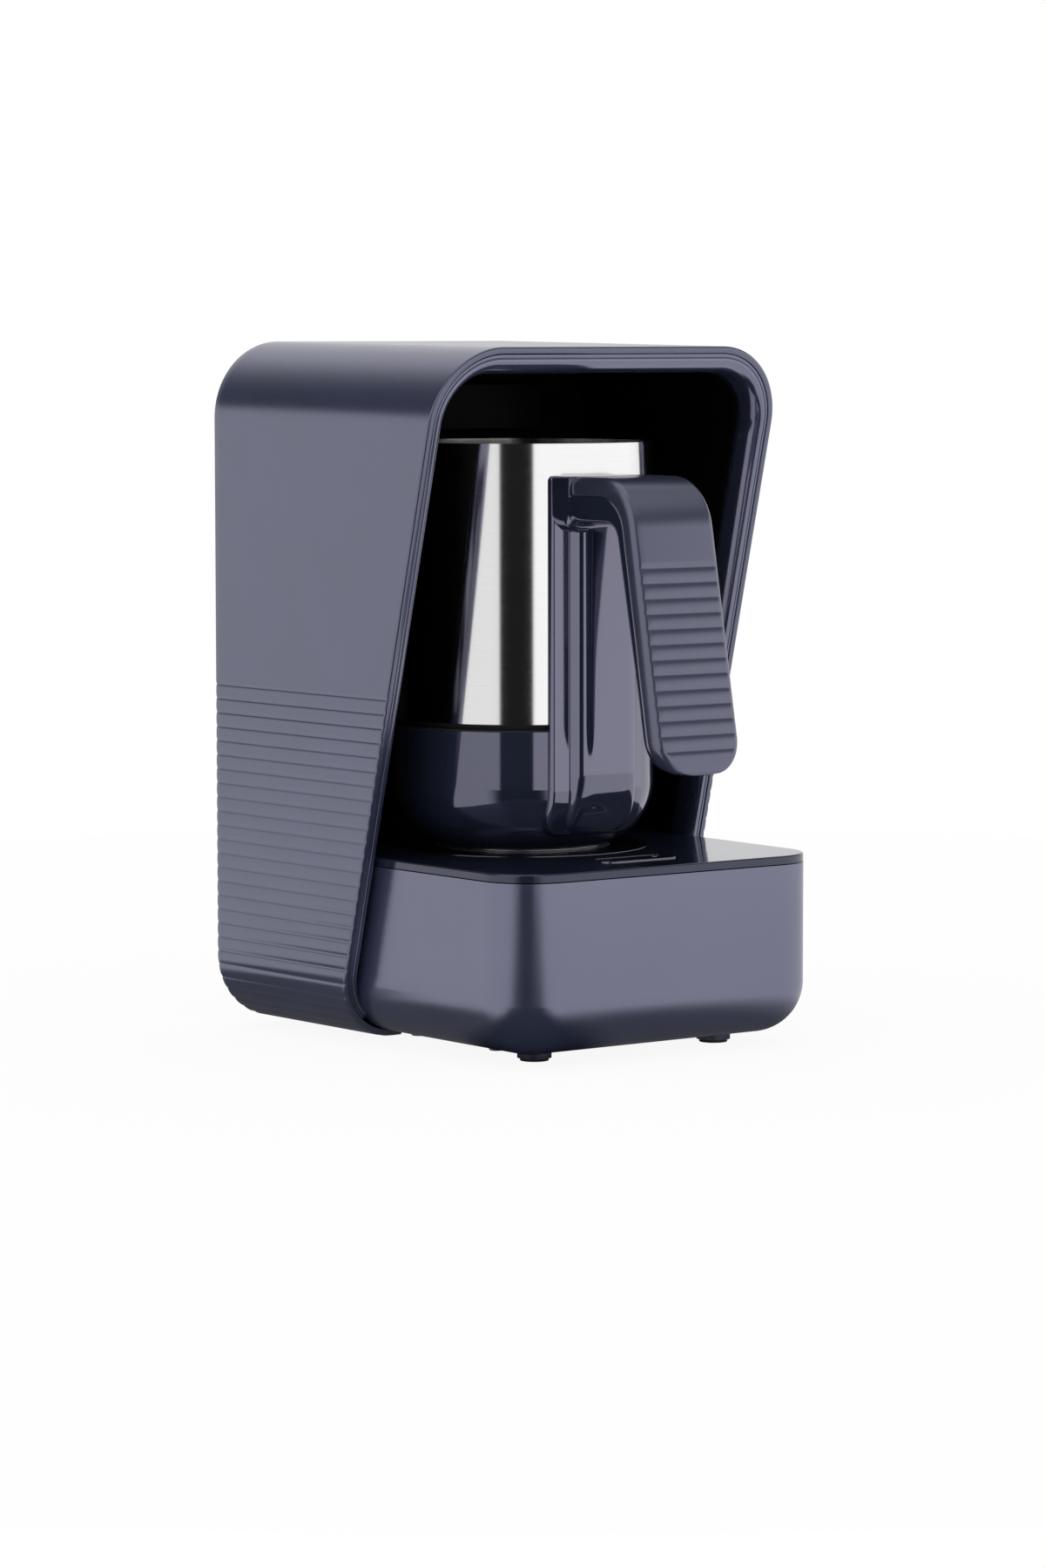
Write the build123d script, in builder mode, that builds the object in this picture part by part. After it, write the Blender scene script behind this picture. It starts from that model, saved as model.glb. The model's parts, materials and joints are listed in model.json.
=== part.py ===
from build123d import *
import os
from math import cos, pi, radians, sin, tan

os.makedirs("parts", exist_ok=True)

# Millimetres. +Z is up, the front faces -Y. The pieces are drawn about the pot's axis, and written
# with the origin on the table under the centre of the whole machine.

# ---------------------------------------------------------------- clearances
gap = 0.3  # between pieces that only meet
slip = 0.1  # between pieces that locate each other
seat_lift = 0.1  # pot above the hotplate it is drawn across

# ---------------------------------------------------------------- hood
hood_front_y = -54.5  # front edge of the roof
hood_rear_y = 79.5
hood_front_width = 148.2
hood_front_height = 241.5
hood_floor_z = 2.0
hood_side_draft = 1.1  # degrees, each side, wider to the rear
hood_roof_rise = 0.74  # degrees, higher to the rear
hood_cut_angle = 14.5  # degrees, how far the open front leans forward
hood_wall = 2.4
roof_radius = 27.0
floor_radius = 24.0
rib_top_z = 122.3
rib_pitch = 5.0
rib_depth = 0.55
lip_half_gap = 47.2  # half of the slot between the hood's lower lips

# ---------------------------------------------------------------- bezel and cavity
bezel_side = 7.2  # outer wall to opening, at the sides
bezel_roof = 9.2  # outer wall to opening, at the roof
bezel_depth = 11.6
bezel_recess = 0.3
bezel_roll = 2.4
bezel_leg_end_z = 9.0
liner_wall = 2.0
cavity_rear_y = 56.0

# ---------------------------------------------------------------- base
base_front_y = -87.0
base_side_gap = 0.2  # inside the cavity's mouth
base_side_draft = 1.0
base_corner_radius = 19.0
base_floor_radius = 18.0
base_floor_z = 3.9
base_wall = 2.4
base_floor = 4.4
parting_z = 63.4
plate_gap = 0.4
plate_top_z = 66.6
plate_edge_radius = 0.7
cover_half_width = 46.0
cover_front_y = -66.0
cover_rear_y = 72.0
cover_thickness = 2.0
cover_corner = 6.0
ledge_width = 5.0
foot_x = 38.9
foot_front_y = -59.2
foot_rear_y = 58.0
foot_radius = 5.9
pad_radius = 4.9
pad_height = 1.0

# ---------------------------------------------------------------- pot
pot_radius = 46.1
pot_rim_drop = 33.0  # below the roof's front edge
pot_seam_z = 110.2
pot_sheet = 0.8
pot_corner_radius = 23.0
shoulder_angle = 45.0  # step from the jacketed part out to the bare part
jacket_wall = 2.1
seal_height = 0.5
base_disc_radius = 27.0
base_disc_height = 2.9

# ---------------------------------------------------------------- handle
column_half_width = 19.0
column_low_z = 73.0
column_rim_drop = 11.0  # column and arm below the pot's rim
column_proud = 2.0
column_corner = 7.0
spine_half_width = 11.8
spine_proud = 4.4
grip_half_width = 15.5
grip_low_z = 98.0
arm_thickness = 15.2
grip_start_y = -52.5
grip_outer_y = -84.0  # where the outer face, prolonged, meets the level of the arm's top
grip_outer_lean = 10.95  # degrees
grip_inner_y = -75.6  # where the inner face, prolonged, meets the arm's underside
grip_inner_lean = 12.1
grip_bend_radius = 20.0
grip_inner_bend = 7.0
grip_cover = 6.3
grip_end_radius = 12.0
grip_edge = 2.2
grip_rib_count = 13
grip_rib_drop = 30.0  # first groove below the arm's top
grip_rib_pitch = 5.08
grip_rib_depth = 0.6
grip_rib_radius = 1.5
bracket_half_width = 7.0
bracket_sheet = 1.5
bracket_low_z = 120.0
bracket_tab_drop = 10.2  # below the arm's top
bracket_tab_reach = 15.0  # beyond the pot's skin
handle_screw_reach = 9.9  # beyond the pot's skin
handle_screw_length = 6.0

# ---------------------------------------------------------------- seat and heater
seat_ring_outer = 44.0
seat_ring_inner = 31.0
seat_ring_depth = 0.8
hotplate_flange_radius = 37.0
hotplate_thickness = 5.7
hotplate_flange = 2.6
element_radius = 21.0
element_tube = 3.3
element_sweep = 300.0
terminal_length = 14.0
terminal_radius = 1.5
shield_radius = 34.0
shield_depth = 13.0
shield_sheet = 0.8
thermostat_radius = 8.0
thermostat_height = 9.0
fuse_radius = 2.0
fuse_length = 13.0

# ---------------------------------------------------------------- control
button_y = -63.5
button_length = 31.0
button_depth = 13.0
button_corner = 4.0
button_rim = 1.8
button_rim_proud = 0.4
button_cap_drop = 0.1  # cap below its rim
button_cap_height = 4.0
button_flange = 1.2
button_edge = 0.2
button_travel = 0.8
button_stem_radius = 2.0
window_radius = 0.9
window_x = 9.5
spring_radius = 4.6
spring_wire = 0.5
spring_turns = 4
control_board_length = 52.0
control_board_depth = 22.0
control_board_drop = 8.5  # plate's underside to the board's top
board_sheet = 1.6
post_radius = 3.0
switch_size = 6.0
switch_height = 3.4  # with its plunger
plunger_height = 1.0
plunger_radius = 1.5
led_height = 3.0

# ---------------------------------------------------------------- power electronics
power_board_x = 78.0
power_board_y = 70.0
power_board_centre_y = -12.0
power_board_z = 16.0
relay_size = (19.0, 15.5, 15.0)
relay_place = (-26.0, 12.0)  # from the board's centre, as all places on it
transformer_size = (30.0, 24.0, 22.0)
transformer_place = (14.0, -18.0)
capacitor_radius = 5.0
capacitor_height = 20.0
capacitor_place = (-8.0, -32.0)
terminal_size = (26.0, 10.0, 12.0)
terminal_place = (14.0, 18.0)
package_corner = 0.8
wire_radius = 1.1
wire_spacing = 5.0
wire_lead = 20.0  # straight lead up and down the channel behind the liner
buzzer_radius = 6.0
buzzer_height = 7.0
buzzer_place = (-22.0, -24.0)

# ---------------------------------------------------------------- sensor head
head_half_width = 29.0
head_front_y = 25.0
head_roof_gap = 4.0  # under the cavity's roof
head_height = 18.3
head_wall = 1.8
head_upper_corner = 9.0
head_lower_corner = 3.0
head_edge = 1.5
lens_radius = 8.0
lens_y = 36.0
lens_thickness = 1.6
sensor_board_size = (30.0, 16.0)
sensor_wire_hole = 5.0

# ---------------------------------------------------------------- rear
rear_cover_sheet = 2.4
gland_x = -36.0
gland_z = 26.0
gland_bore = 3.6
gland_body_radius = 6.5
gland_flange_radius = 9.5
gland_flange = 3.0
gland_length = 9.0
gland_edge = 1.5
vent_count = 9
vent_pitch = 6.0
vent_length = 46.0
vent_width = 2.2
vent_z = 150.0
floor_vent_count = 5
floor_vent_y = 48.0

# ---------------------------------------------------------------- screws
screw_radius = 1.5
screw_head_radius = 2.8
screw_head_height = 1.8
screw_head_edge = 0.6
screw_length = 9.0
cover_screw_y = (-44.0, 2.0, 44.0)
rear_screw_x = 52.0
rear_screw_drop = 45.5  # below the roof's front edge
rear_screw_low_z = 40.0
head_screw_x = 19.0

# ---------------------------------------------------------------- derived
rear_cover_front_y = hood_rear_y - rear_cover_sheet
base_rear_y = rear_cover_front_y - gap
plate_low_z = parting_z + plate_gap
plate_rear_y = cavity_rear_y - gap
pot_base_z = plate_top_z + seat_lift + slip
hotplate_top_z = plate_top_z + slip
hotplate_low_z = hotplate_top_z - hotplate_thickness
hotplate_flange_z = plate_low_z
floor_corner_z = hood_floor_z + floor_radius
cover_top_z = base_floor_z + cover_thickness
cover_screw_x = cover_half_width - ledge_width / 2
board_top_z = power_board_z + board_sheet
control_board_z = plate_low_z - control_board_drop
button_top_z = plate_top_z + button_rim_proud
cap_top_z = button_top_z - button_cap_drop
cap_low_z = cap_top_z - button_cap_height

base_width_loss = 2 * (hood_front_y - base_front_y) * tan(radians(base_side_draft))
base_front_width = hood_front_width - 2 * (bezel_side + base_side_gap) - base_width_loss
rear_screw_high_z = hood_front_height - rear_screw_drop
pot_rim_z = hood_front_height - pot_rim_drop
column_high_z = pot_rim_z - column_rim_drop
grip_top_z = column_high_z
grip_rib_top_z = grip_top_z - grip_rib_drop
bracket_tab_z = grip_top_z - bracket_tab_drop
handle_screw_y = -pot_radius - handle_screw_reach

front_normal = (0, cos(radians(hood_cut_angle)), sin(radians(hood_cut_angle)))
front_plane = Plane(origin=(0, hood_front_y, hood_front_height), x_dir=(1, 0, 0), z_dir=front_normal)
blank_front_y = hood_front_y - gap - hood_wall


def hood_half_width(y):
    return hood_front_width / 2 + (y - hood_front_y) * tan(radians(hood_side_draft))


def roof_height(y):
    return hood_front_height + (y - hood_front_y) * tan(radians(hood_roof_rise))


def hood_prism(side_inset, roof_inset, y_from, y_to):
    """Drafted prism with the hood's cross-section, drawn in by the insets."""
    with BuildPart() as prism:
        for y in (y_from, y_to):
            roof = roof_height(y) - roof_inset
            floor = hood_floor_z + side_inset
            with BuildSketch(Plane.XZ.offset(-y)):
                with Locations((0, (roof + floor) / 2)):
                    Rectangle(2 * (hood_half_width(y) - side_inset), roof - floor)
                fillet(vertices().group_by(Axis.Y)[-1], roof_radius - roof_inset)
                fillet(vertices().group_by(Axis.Y)[0], floor_radius - side_inset)
        loft(ruled=True)
    return prism.part


def wall_point(half_width, down, depth):
    """Point of the ribbed wall, `down` along the wall from the top groove and `depth` under its skin."""
    z = rib_top_z - down
    if z >= floor_corner_z:
        return (half_width - depth, z)
    angle = (floor_corner_z - z) / floor_radius
    radius = floor_radius - depth
    return (half_width - floor_radius + radius * cos(angle), floor_corner_z - radius * sin(angle))


def ribbed_outline(y):
    """Closed outline of the hood at y, with its pillowed ribs, drawn into the open BuildLine."""
    half = hood_half_width(y)
    roof = roof_height(y)
    wall_length = rib_top_z - floor_corner_z + floor_radius * pi / 2
    rib_count = int(wall_length / rib_pitch)
    diagonal = roof_radius * (1 - cos(radians(45)))
    for side in (1, -1):
        Line((side * half, roof - roof_radius), (side * half, rib_top_z + 2 * rib_depth))
        groove = wall_point(half, 0, rib_depth)
        Line((side * half, rib_top_z + 2 * rib_depth), (side * groove[0], groove[1]))
        for rib in range(rib_count):
            upper = wall_point(half, rib * rib_pitch, rib_depth)
            crest = wall_point(half, (rib + 0.5) * rib_pitch, 0)
            lower = wall_point(half, (rib + 1) * rib_pitch, rib_depth)
            ThreePointArc(
                (side * upper[0], upper[1]),
                (side * crest[0], crest[1]),
                (side * lower[0], lower[1]),
            )
        Line((side * lower[0], lower[1]), (side * (half - floor_radius), hood_floor_z))
        ThreePointArc(
            (side * half, roof - roof_radius),
            (side * (half - diagonal), roof - diagonal),
            (side * (half - roof_radius), roof),
        )
    Line((half - roof_radius, roof), (roof_radius - half, roof))
    Line((half - floor_radius, hood_floor_z), (floor_radius - half, hood_floor_z))


def base_outline(grow, y_rear):
    """Plan outline of the base, wider by `grow` all round."""
    y_front = base_front_y - grow
    half_front = base_front_width / 2 + grow
    half_rear = half_front + (y_rear - y_front) * tan(radians(base_side_draft))
    with BuildSketch() as outline:
        with BuildLine():
            Polyline(
                (-half_front, y_front),
                (half_front, y_front),
                (half_rear, y_rear),
                (-half_rear, y_rear),
                close=True,
            )
        make_face()
        fillet(vertices().group_by(Axis.Y)[0], base_corner_radius + grow)
    return outline.sketch


def base_block(grow, z_low, z_high, y_rear, floor_rounding):
    """Solid base block with its bottom edge rounded at the front and the sides."""
    with BuildPart() as block:
        with BuildSketch(Plane.XY.offset(z_low)):
            add(base_outline(grow, y_rear))
        extrude(amount=z_high - z_low)
        rim = faces().sort_by(Axis.Z)[0].edges()
        fillet(rim.filter_by(lambda edge: edge.center().Y < y_rear - 1), floor_rounding)
    return block.part


def pot_form(proud, z_high):
    """Solid of revolution with the pot's outer profile, grown by `proud`."""
    radius = pot_radius + proud
    corner = pot_corner_radius + proud
    corner_z = pot_base_z + pot_corner_radius
    with BuildPart() as form:
        with BuildSketch(Plane.XZ):
            with BuildLine():
                Line((0, corner_z - corner), (radius - corner, corner_z - corner))
                RadiusArc((radius - corner, corner_z - corner), (radius, corner_z), -corner)
                Line((radius, corner_z), (radius, z_high))
                Line((radius, z_high), (0, z_high))
                Line((0, z_high), (0, corner_z - corner))
            make_face()
        revolve(axis=Axis.Z)
    return form.part


def column_layer(half_width, proud, corner):
    """Strip of the given width that hugs the front of the pot, from the pot's skin outwards."""
    with BuildPart() as layer:
        with BuildSketch(Plane.XZ):
            with Locations((0, (column_low_z + column_high_z) / 2)):
                Rectangle(2 * half_width, column_high_z - column_low_z)
            fillet(vertices().group_by(Axis.Y)[0], corner)
        extrude(amount=2 * pot_radius)
        add(pot_form(proud, pot_rim_z), mode=Mode.INTERSECT)
        add(pot_form(slip, pot_rim_z + gap), mode=Mode.SUBTRACT)
    return layer.part


def screws(places, direction, length):
    """Pan-head screws, one per place, with the head seated there and the shank along `direction`."""
    group = []
    for place in places:
        with BuildPart() as screw:
            with BuildSketch(Plane(origin=place, z_dir=direction)):
                Circle(screw_head_radius)
            extrude(amount=-screw_head_height)
            fillet(faces().sort_by(Axis(place, direction))[0].edges(), screw_head_edge)
            with BuildSketch(Plane(origin=place, z_dir=direction)):
                Circle(screw_radius - slip)
            extrude(amount=length)
        group.append(screw.part)
    return group


# ================================================================ housing
with BuildPart() as outer_shell:
    for section_y in (blank_front_y, hood_rear_y):
        with BuildSketch(Plane.XZ.offset(-section_y)):
            with BuildLine():
                ribbed_outline(section_y)
            make_face()
    loft(ruled=True)
    add(hood_prism(hood_wall, hood_wall, blank_front_y - gap, hood_rear_y + gap), mode=Mode.SUBTRACT)
    split(bisect_by=front_plane, keep=Keep.TOP)
    with BuildSketch(Plane.XY):
        with Locations((0, (hood_rear_y + blank_front_y) / 2)):
            Rectangle(2 * lip_half_gap, hood_rear_y - blank_front_y + 2 * gap)
    extrude(amount=floor_corner_z, mode=Mode.SUBTRACT)

bezel_blank = hood_prism(hood_wall + slip, hood_wall + slip, blank_front_y, cavity_rear_y)
bezel_opening = hood_prism(bezel_side, bezel_roof, blank_front_y - gap, cavity_rear_y + gap)
base_clearance = base_block(gap, base_floor_z - gap, parting_z + hood_wall, base_rear_y, base_floor_radius)
with BuildPart() as front_bezel:
    add(bezel_blank)
    add(bezel_opening, mode=Mode.SUBTRACT)
    split(bisect_by=front_plane.offset(bezel_recess), keep=Keep.TOP)
    split(bisect_by=front_plane.offset(bezel_recess + bezel_depth), keep=Keep.BOTTOM)
    mouth = faces().sort_by(Axis((0, 0, 0), front_normal))[0]
    fillet(mouth.inner_wires()[0].edges(), bezel_roll)
    add(base_clearance, mode=Mode.SUBTRACT)
    with BuildSketch(Plane.XY):
        with Locations((0, (hood_rear_y + blank_front_y) / 2)):
            Rectangle(2 * hood_front_width, hood_rear_y - blank_front_y)
    extrude(amount=bezel_leg_end_z, mode=Mode.SUBTRACT)

liner_blank = hood_prism(
    bezel_side - liner_wall, bezel_roof - liner_wall, blank_front_y, cavity_rear_y + liner_wall
)
liner_space = hood_prism(bezel_side, bezel_roof, blank_front_y - gap, cavity_rear_y)
head_high_z = roof_height(head_front_y) - bezel_roof - head_roof_gap
head_low_z = head_high_z - head_height
head_centre_z = (head_low_z + head_high_z) / 2
with BuildPart() as cavity_liner:
    add(liner_blank)
    add(liner_space, mode=Mode.SUBTRACT)
    split(bisect_by=front_plane.offset(bezel_recess + bezel_depth + gap), keep=Keep.TOP)
    with BuildSketch(Plane.XY):
        with Locations((0, (hood_rear_y + blank_front_y) / 2)):
            Rectangle(2 * hood_front_width, hood_rear_y - blank_front_y)
    extrude(amount=plate_low_z, mode=Mode.SUBTRACT)
    with BuildSketch(Plane.XZ.offset(-cavity_rear_y - liner_wall)):
        with Locations((-rear_screw_x, rear_screw_high_z), (rear_screw_x, rear_screw_high_z)):
            Circle(post_radius)
    extrude(amount=-(rear_cover_front_y - cavity_rear_y - liner_wall))
    with BuildSketch(Plane.XZ.offset(-rear_cover_front_y)):
        with Locations((-rear_screw_x, rear_screw_high_z), (rear_screw_x, rear_screw_high_z)):
            Circle(screw_radius)
    extrude(amount=screw_length, mode=Mode.SUBTRACT)
    with BuildSketch(Plane.XZ.offset(-cavity_rear_y - liner_wall)):
        with Locations((0, head_centre_z)):
            Circle(sensor_wire_hole)
        with Locations((-head_screw_x, head_centre_z), (head_screw_x, head_centre_z)):
            Circle(screw_radius)
    extrude(amount=liner_wall, mode=Mode.SUBTRACT)

hood_ring = hood_prism(-gap, -gap, blank_front_y, hood_rear_y)
hood_inside = hood_prism(hood_wall + gap, hood_wall + gap, blank_front_y - gap, hood_rear_y + gap)
with BuildPart() as hood_keep_out:
    add(hood_ring)
    add(hood_inside, mode=Mode.SUBTRACT)
    split(bisect_by=front_plane.offset(-gap), keep=Keep.TOP)

base_inside_z = base_floor_z + base_floor
base_inside_y = base_rear_y - base_wall
base_inside_radius = base_floor_radius - base_floor
base_space = base_block(-base_wall, base_inside_z, parting_z + gap, base_inside_y, base_inside_radius)
cover_centre_y = (cover_front_y + cover_rear_y) / 2
cover_length = cover_rear_y - cover_front_y
ledge_opening_width = 2 * (cover_half_width - ledge_width)
cover_screw_places = [(side * cover_screw_x, y) for side in (-1, 1) for y in cover_screw_y]
with BuildPart() as base_housing:
    add(base_block(0, base_floor_z, parting_z, base_rear_y, base_floor_radius))
    add(base_space, mode=Mode.SUBTRACT)
    with BuildSketch(Plane.XY.offset(base_inside_z)):
        with Locations(*cover_screw_places):
            Circle(post_radius)
    extrude(amount=screw_length)
    with BuildSketch(Plane.XZ.offset(-base_rear_y)):
        with Locations((-rear_screw_x, rear_screw_low_z), (rear_screw_x, rear_screw_low_z)):
            Circle(post_radius)
    extrude(amount=screw_length + base_wall)
    with BuildSketch(Plane.XY.offset(base_floor_z)):
        with Locations((0, cover_centre_y)):
            RectangleRounded(2 * (cover_half_width + gap), cover_length + 2 * gap, cover_corner + gap)
    extrude(amount=cover_thickness, mode=Mode.SUBTRACT)
    with BuildSketch(Plane.XY.offset(base_floor_z)):
        with Locations((0, cover_centre_y)):
            RectangleRounded(ledge_opening_width, cover_length - 2 * ledge_width, cover_corner)
    extrude(amount=base_floor, mode=Mode.SUBTRACT)
    with BuildSketch(Plane.XY.offset(base_floor_z)):
        with Locations(*cover_screw_places):
            Circle(screw_radius)
    extrude(amount=cover_thickness + screw_length, mode=Mode.SUBTRACT)
    with BuildSketch(Plane.XZ.offset(-base_rear_y)):
        with Locations((-rear_screw_x, rear_screw_low_z), (rear_screw_x, rear_screw_low_z)):
            Circle(screw_radius)
    extrude(amount=screw_length, mode=Mode.SUBTRACT)
    with BuildSketch(Plane.XZ.offset(-base_rear_y)):
        with Locations((gland_x, gland_z)):
            Circle(gland_body_radius + gap)
    extrude(amount=base_wall, mode=Mode.SUBTRACT)
    add(hood_keep_out.part, mode=Mode.SUBTRACT)

button_hole_length = button_length + 2 * slip
button_hole_depth = button_depth + 2 * slip
post_x = control_board_length / 2 - post_radius - gap
with BuildPart() as top_plate:
    with BuildSketch(Plane.XY.offset(plate_low_z)):
        add(base_outline(0, plate_rear_y))
    extrude(amount=plate_top_z - plate_low_z)
    fillet(faces().sort_by(Axis.Z)[-1].edges(), plate_edge_radius)
    with BuildSketch(Plane.XY.offset(plate_low_z)):
        with Locations((-post_x, button_y), (post_x, button_y)):
            Circle(post_radius)
    extrude(amount=-control_board_drop)
    with BuildSketch(Plane.XY.offset(control_board_z)):
        with Locations((-post_x, button_y), (post_x, button_y)):
            Circle(screw_radius)
    extrude(amount=control_board_drop, mode=Mode.SUBTRACT)
    with BuildSketch(Plane.XY.offset(plate_top_z)):
        Circle(seat_ring_outer + slip)
    extrude(amount=-(seat_ring_depth - slip), mode=Mode.SUBTRACT)
    with BuildSketch(Plane.XY.offset(plate_top_z)):
        Circle(seat_ring_inner + 2 * gap)
        with Locations((0, button_y)):
            RectangleRounded(button_hole_length, button_hole_depth, button_corner + slip)
    extrude(amount=plate_low_z - plate_top_z, mode=Mode.SUBTRACT)

board_post_x = power_board_x / 2 - post_radius - gap
board_post_y = power_board_y / 2 - post_radius - gap
board_places = [
    (x_side * board_post_x, power_board_centre_y + y_side * board_post_y)
    for x_side in (-1, 1)
    for y_side in (-1, 1)
]
with BuildPart() as bottom_cover:
    with BuildSketch(Plane.XY.offset(base_floor_z)):
        with Locations((0, cover_centre_y)):
            RectangleRounded(2 * cover_half_width, cover_length, cover_corner)
    extrude(amount=cover_thickness)
    with BuildSketch(Plane.XY.offset(cover_top_z)):
        with Locations(*board_places):
            Circle(post_radius)
    extrude(amount=power_board_z - cover_top_z)
    with BuildSketch(Plane.XY.offset(power_board_z)):
        with Locations(*board_places):
            Circle(screw_radius)
    extrude(amount=-(screw_length - board_sheet), mode=Mode.SUBTRACT)
    with BuildSketch(Plane.XY.offset(base_floor_z)):
        with Locations(*cover_screw_places):
            Circle(screw_radius)
        with Locations((0, floor_vent_y)):
            with GridLocations(0, vent_pitch, 1, floor_vent_count):
                SlotOverall(vent_length, vent_width)
    extrude(amount=cover_thickness, mode=Mode.SUBTRACT)

foot_places = [(side * foot_x, y) for side in (-1, 1) for y in (foot_front_y, foot_rear_y)]
with BuildPart() as feet:
    with BuildSketch(Plane.XY.offset(base_floor_z)):
        with Locations(*foot_places):
            Circle(foot_radius)
    extrude(amount=-(base_floor_z - pad_height))

with BuildPart() as foot_pads:
    with BuildSketch(Plane.XY):
        with Locations(*foot_places):
            Circle(pad_radius)
    extrude(amount=pad_height)

with BuildPart() as rear_cover:
    add(hood_prism(hood_wall + gap, hood_wall + gap, rear_cover_front_y, hood_rear_y))
    with BuildSketch(Plane.XZ.offset(-rear_cover_front_y)):
        with Locations((0, vent_z)):
            with GridLocations(0, vent_pitch, 1, vent_count):
                SlotOverall(vent_length, vent_width)
        with Locations((gland_x, gland_z)):
            Circle(gland_body_radius + slip)
        for screw_z in (rear_screw_low_z, rear_screw_high_z):
            with Locations((-rear_screw_x, screw_z), (rear_screw_x, screw_z)):
                Circle(screw_radius)
    extrude(amount=-rear_cover_sheet, mode=Mode.SUBTRACT)

with BuildPart() as cord_gland:
    with BuildSketch(Plane.XZ.offset(-hood_rear_y)):
        with Locations((gland_x, gland_z)):
            Circle(gland_flange_radius)
    extrude(amount=-gland_flange)
    fillet(faces().sort_by(Axis.Y)[-1].edges(), gland_edge)
    with BuildSketch(Plane.XZ.offset(-hood_rear_y)):
        with Locations((gland_x, gland_z)):
            Circle(gland_body_radius)
    extrude(amount=gland_length)
    with BuildSketch(Plane.XZ.offset(-hood_rear_y - gland_flange)):
        with Locations((gland_x, gland_z)):
            Circle(gland_bore)
    extrude(amount=gland_length + gland_flange, mode=Mode.SUBTRACT)

# ================================================================ seat and heater
with BuildPart() as seat_ring:
    with BuildSketch(Plane.XY.offset(hotplate_top_z)):
        Circle(seat_ring_outer)
        Circle(seat_ring_inner, mode=Mode.SUBTRACT)
    extrude(amount=-seat_ring_depth)

with BuildPart() as hotplate:
    with BuildSketch(Plane.XY.offset(hotplate_low_z)):
        Circle(seat_ring_inner - slip)
    extrude(amount=hotplate_thickness)
    with BuildSketch(Plane.XY.offset(hotplate_flange_z)):
        Circle(hotplate_flange_radius)
    extrude(amount=-hotplate_flange)

element_z = hotplate_low_z - element_tube
element_half_gap = radians((360 - element_sweep) / 2)
element_end_x = element_radius * cos(element_half_gap)
element_end_y = element_radius * sin(element_half_gap)
element_ends = [(element_end_x, -element_end_y), (element_end_x, element_end_y)]
with BuildPart() as heating_element:
    with BuildSketch(Plane.XZ.rotated((0, 0, (360 - element_sweep) / 2))):
        with Locations((element_radius, element_z)):
            Circle(element_tube)
    revolve(axis=Axis.Z, revolution_arc=element_sweep)
    with BuildSketch(Plane.XY.offset(element_z)):
        with Locations(*element_ends):
            Circle(terminal_radius)
    extrude(amount=-terminal_length)

shield_low_z = hotplate_flange_z - hotplate_flange - shield_depth
with BuildPart() as heat_shield:
    with BuildSketch(Plane.XY.offset(shield_low_z)):
        Circle(shield_radius)
    extrude(amount=shield_depth)
    with BuildSketch(Plane.XY.offset(shield_low_z + shield_sheet)):
        Circle(shield_radius - shield_sheet)
    extrude(amount=shield_depth, mode=Mode.SUBTRACT)
    with BuildSketch(Plane.XY.offset(shield_low_z)):
        Circle(thermostat_radius + gap)
        with Locations(*element_ends):
            Circle(2 * terminal_radius)
    extrude(amount=shield_sheet, mode=Mode.SUBTRACT)

with BuildPart() as thermostat:
    with BuildSketch(Plane.XY.offset(hotplate_low_z)):
        Circle(thermostat_radius)
    extrude(amount=-thermostat_height)
    with BuildSketch(Plane.XY.offset(hotplate_low_z - thermostat_height)):
        with Locations((-thermostat_radius / 2, 0), (thermostat_radius / 2, 0)):
            Rectangle(terminal_radius, 2 * terminal_radius)
    extrude(amount=-terminal_length)

fuse_z = shield_low_z - fuse_radius
with BuildPart() as thermal_fuse:
    with BuildSketch(Plane.YZ.offset(-fuse_length / 2)):
        with Locations((element_radius, fuse_z)):
            Circle(fuse_radius)
    extrude(amount=fuse_length)

# ================================================================ control
opening_length = button_length - 2 * button_rim
opening_depth = button_depth - 2 * button_rim
opening_corner = button_corner - button_rim
with BuildPart() as button_bezel:
    with BuildSketch(Plane.XY.offset(cap_low_z)):
        with Locations((0, button_y)):
            RectangleRounded(button_length, button_depth, button_corner)
    extrude(amount=button_top_z - cap_low_z)
    fillet(faces().sort_by(Axis.Z)[-1].edges(), button_edge)
    with BuildSketch(Plane.XY.offset(cap_low_z)):
        with Locations((0, button_y)):
            RectangleRounded(opening_length, opening_depth, opening_corner)
    extrude(amount=button_top_z - cap_low_z, mode=Mode.SUBTRACT)

switch_top_z = control_board_z + switch_height
flange_top_z = cap_low_z - slip
with BuildPart() as button_cap:
    with BuildSketch(Plane.XY.offset(flange_top_z)):
        with Locations((0, button_y)):
            RectangleRounded(opening_length - 2 * slip, opening_depth - 2 * slip, opening_corner - slip)
    extrude(amount=cap_top_z - flange_top_z)
    fillet(faces().sort_by(Axis.Z)[-1].edges(), button_edge)
    with BuildSketch(Plane.XY.offset(flange_top_z)):
        with Locations((0, button_y)):
            RectangleRounded(button_length, button_depth, button_corner)
    extrude(amount=-button_flange)
    with BuildSketch(Plane.XY.offset(flange_top_z - button_flange)):
        with Locations((0, button_y)):
            Circle(button_stem_radius)
    extrude(amount=-(flange_top_z - button_flange - switch_top_z - button_travel - slip))
    with BuildSketch(Plane.XY.offset(cap_top_z)):
        with Locations((window_x, button_y)):
            Circle(window_radius + slip / 2)
    extrude(amount=flange_top_z - button_flange - cap_top_z, mode=Mode.SUBTRACT)

with BuildPart() as light_window:
    with BuildSketch(Plane.XY.offset(flange_top_z - button_flange)):
        with Locations((window_x, button_y)):
            Circle(window_radius)
    extrude(amount=cap_top_z - flange_top_z + button_flange)

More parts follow.
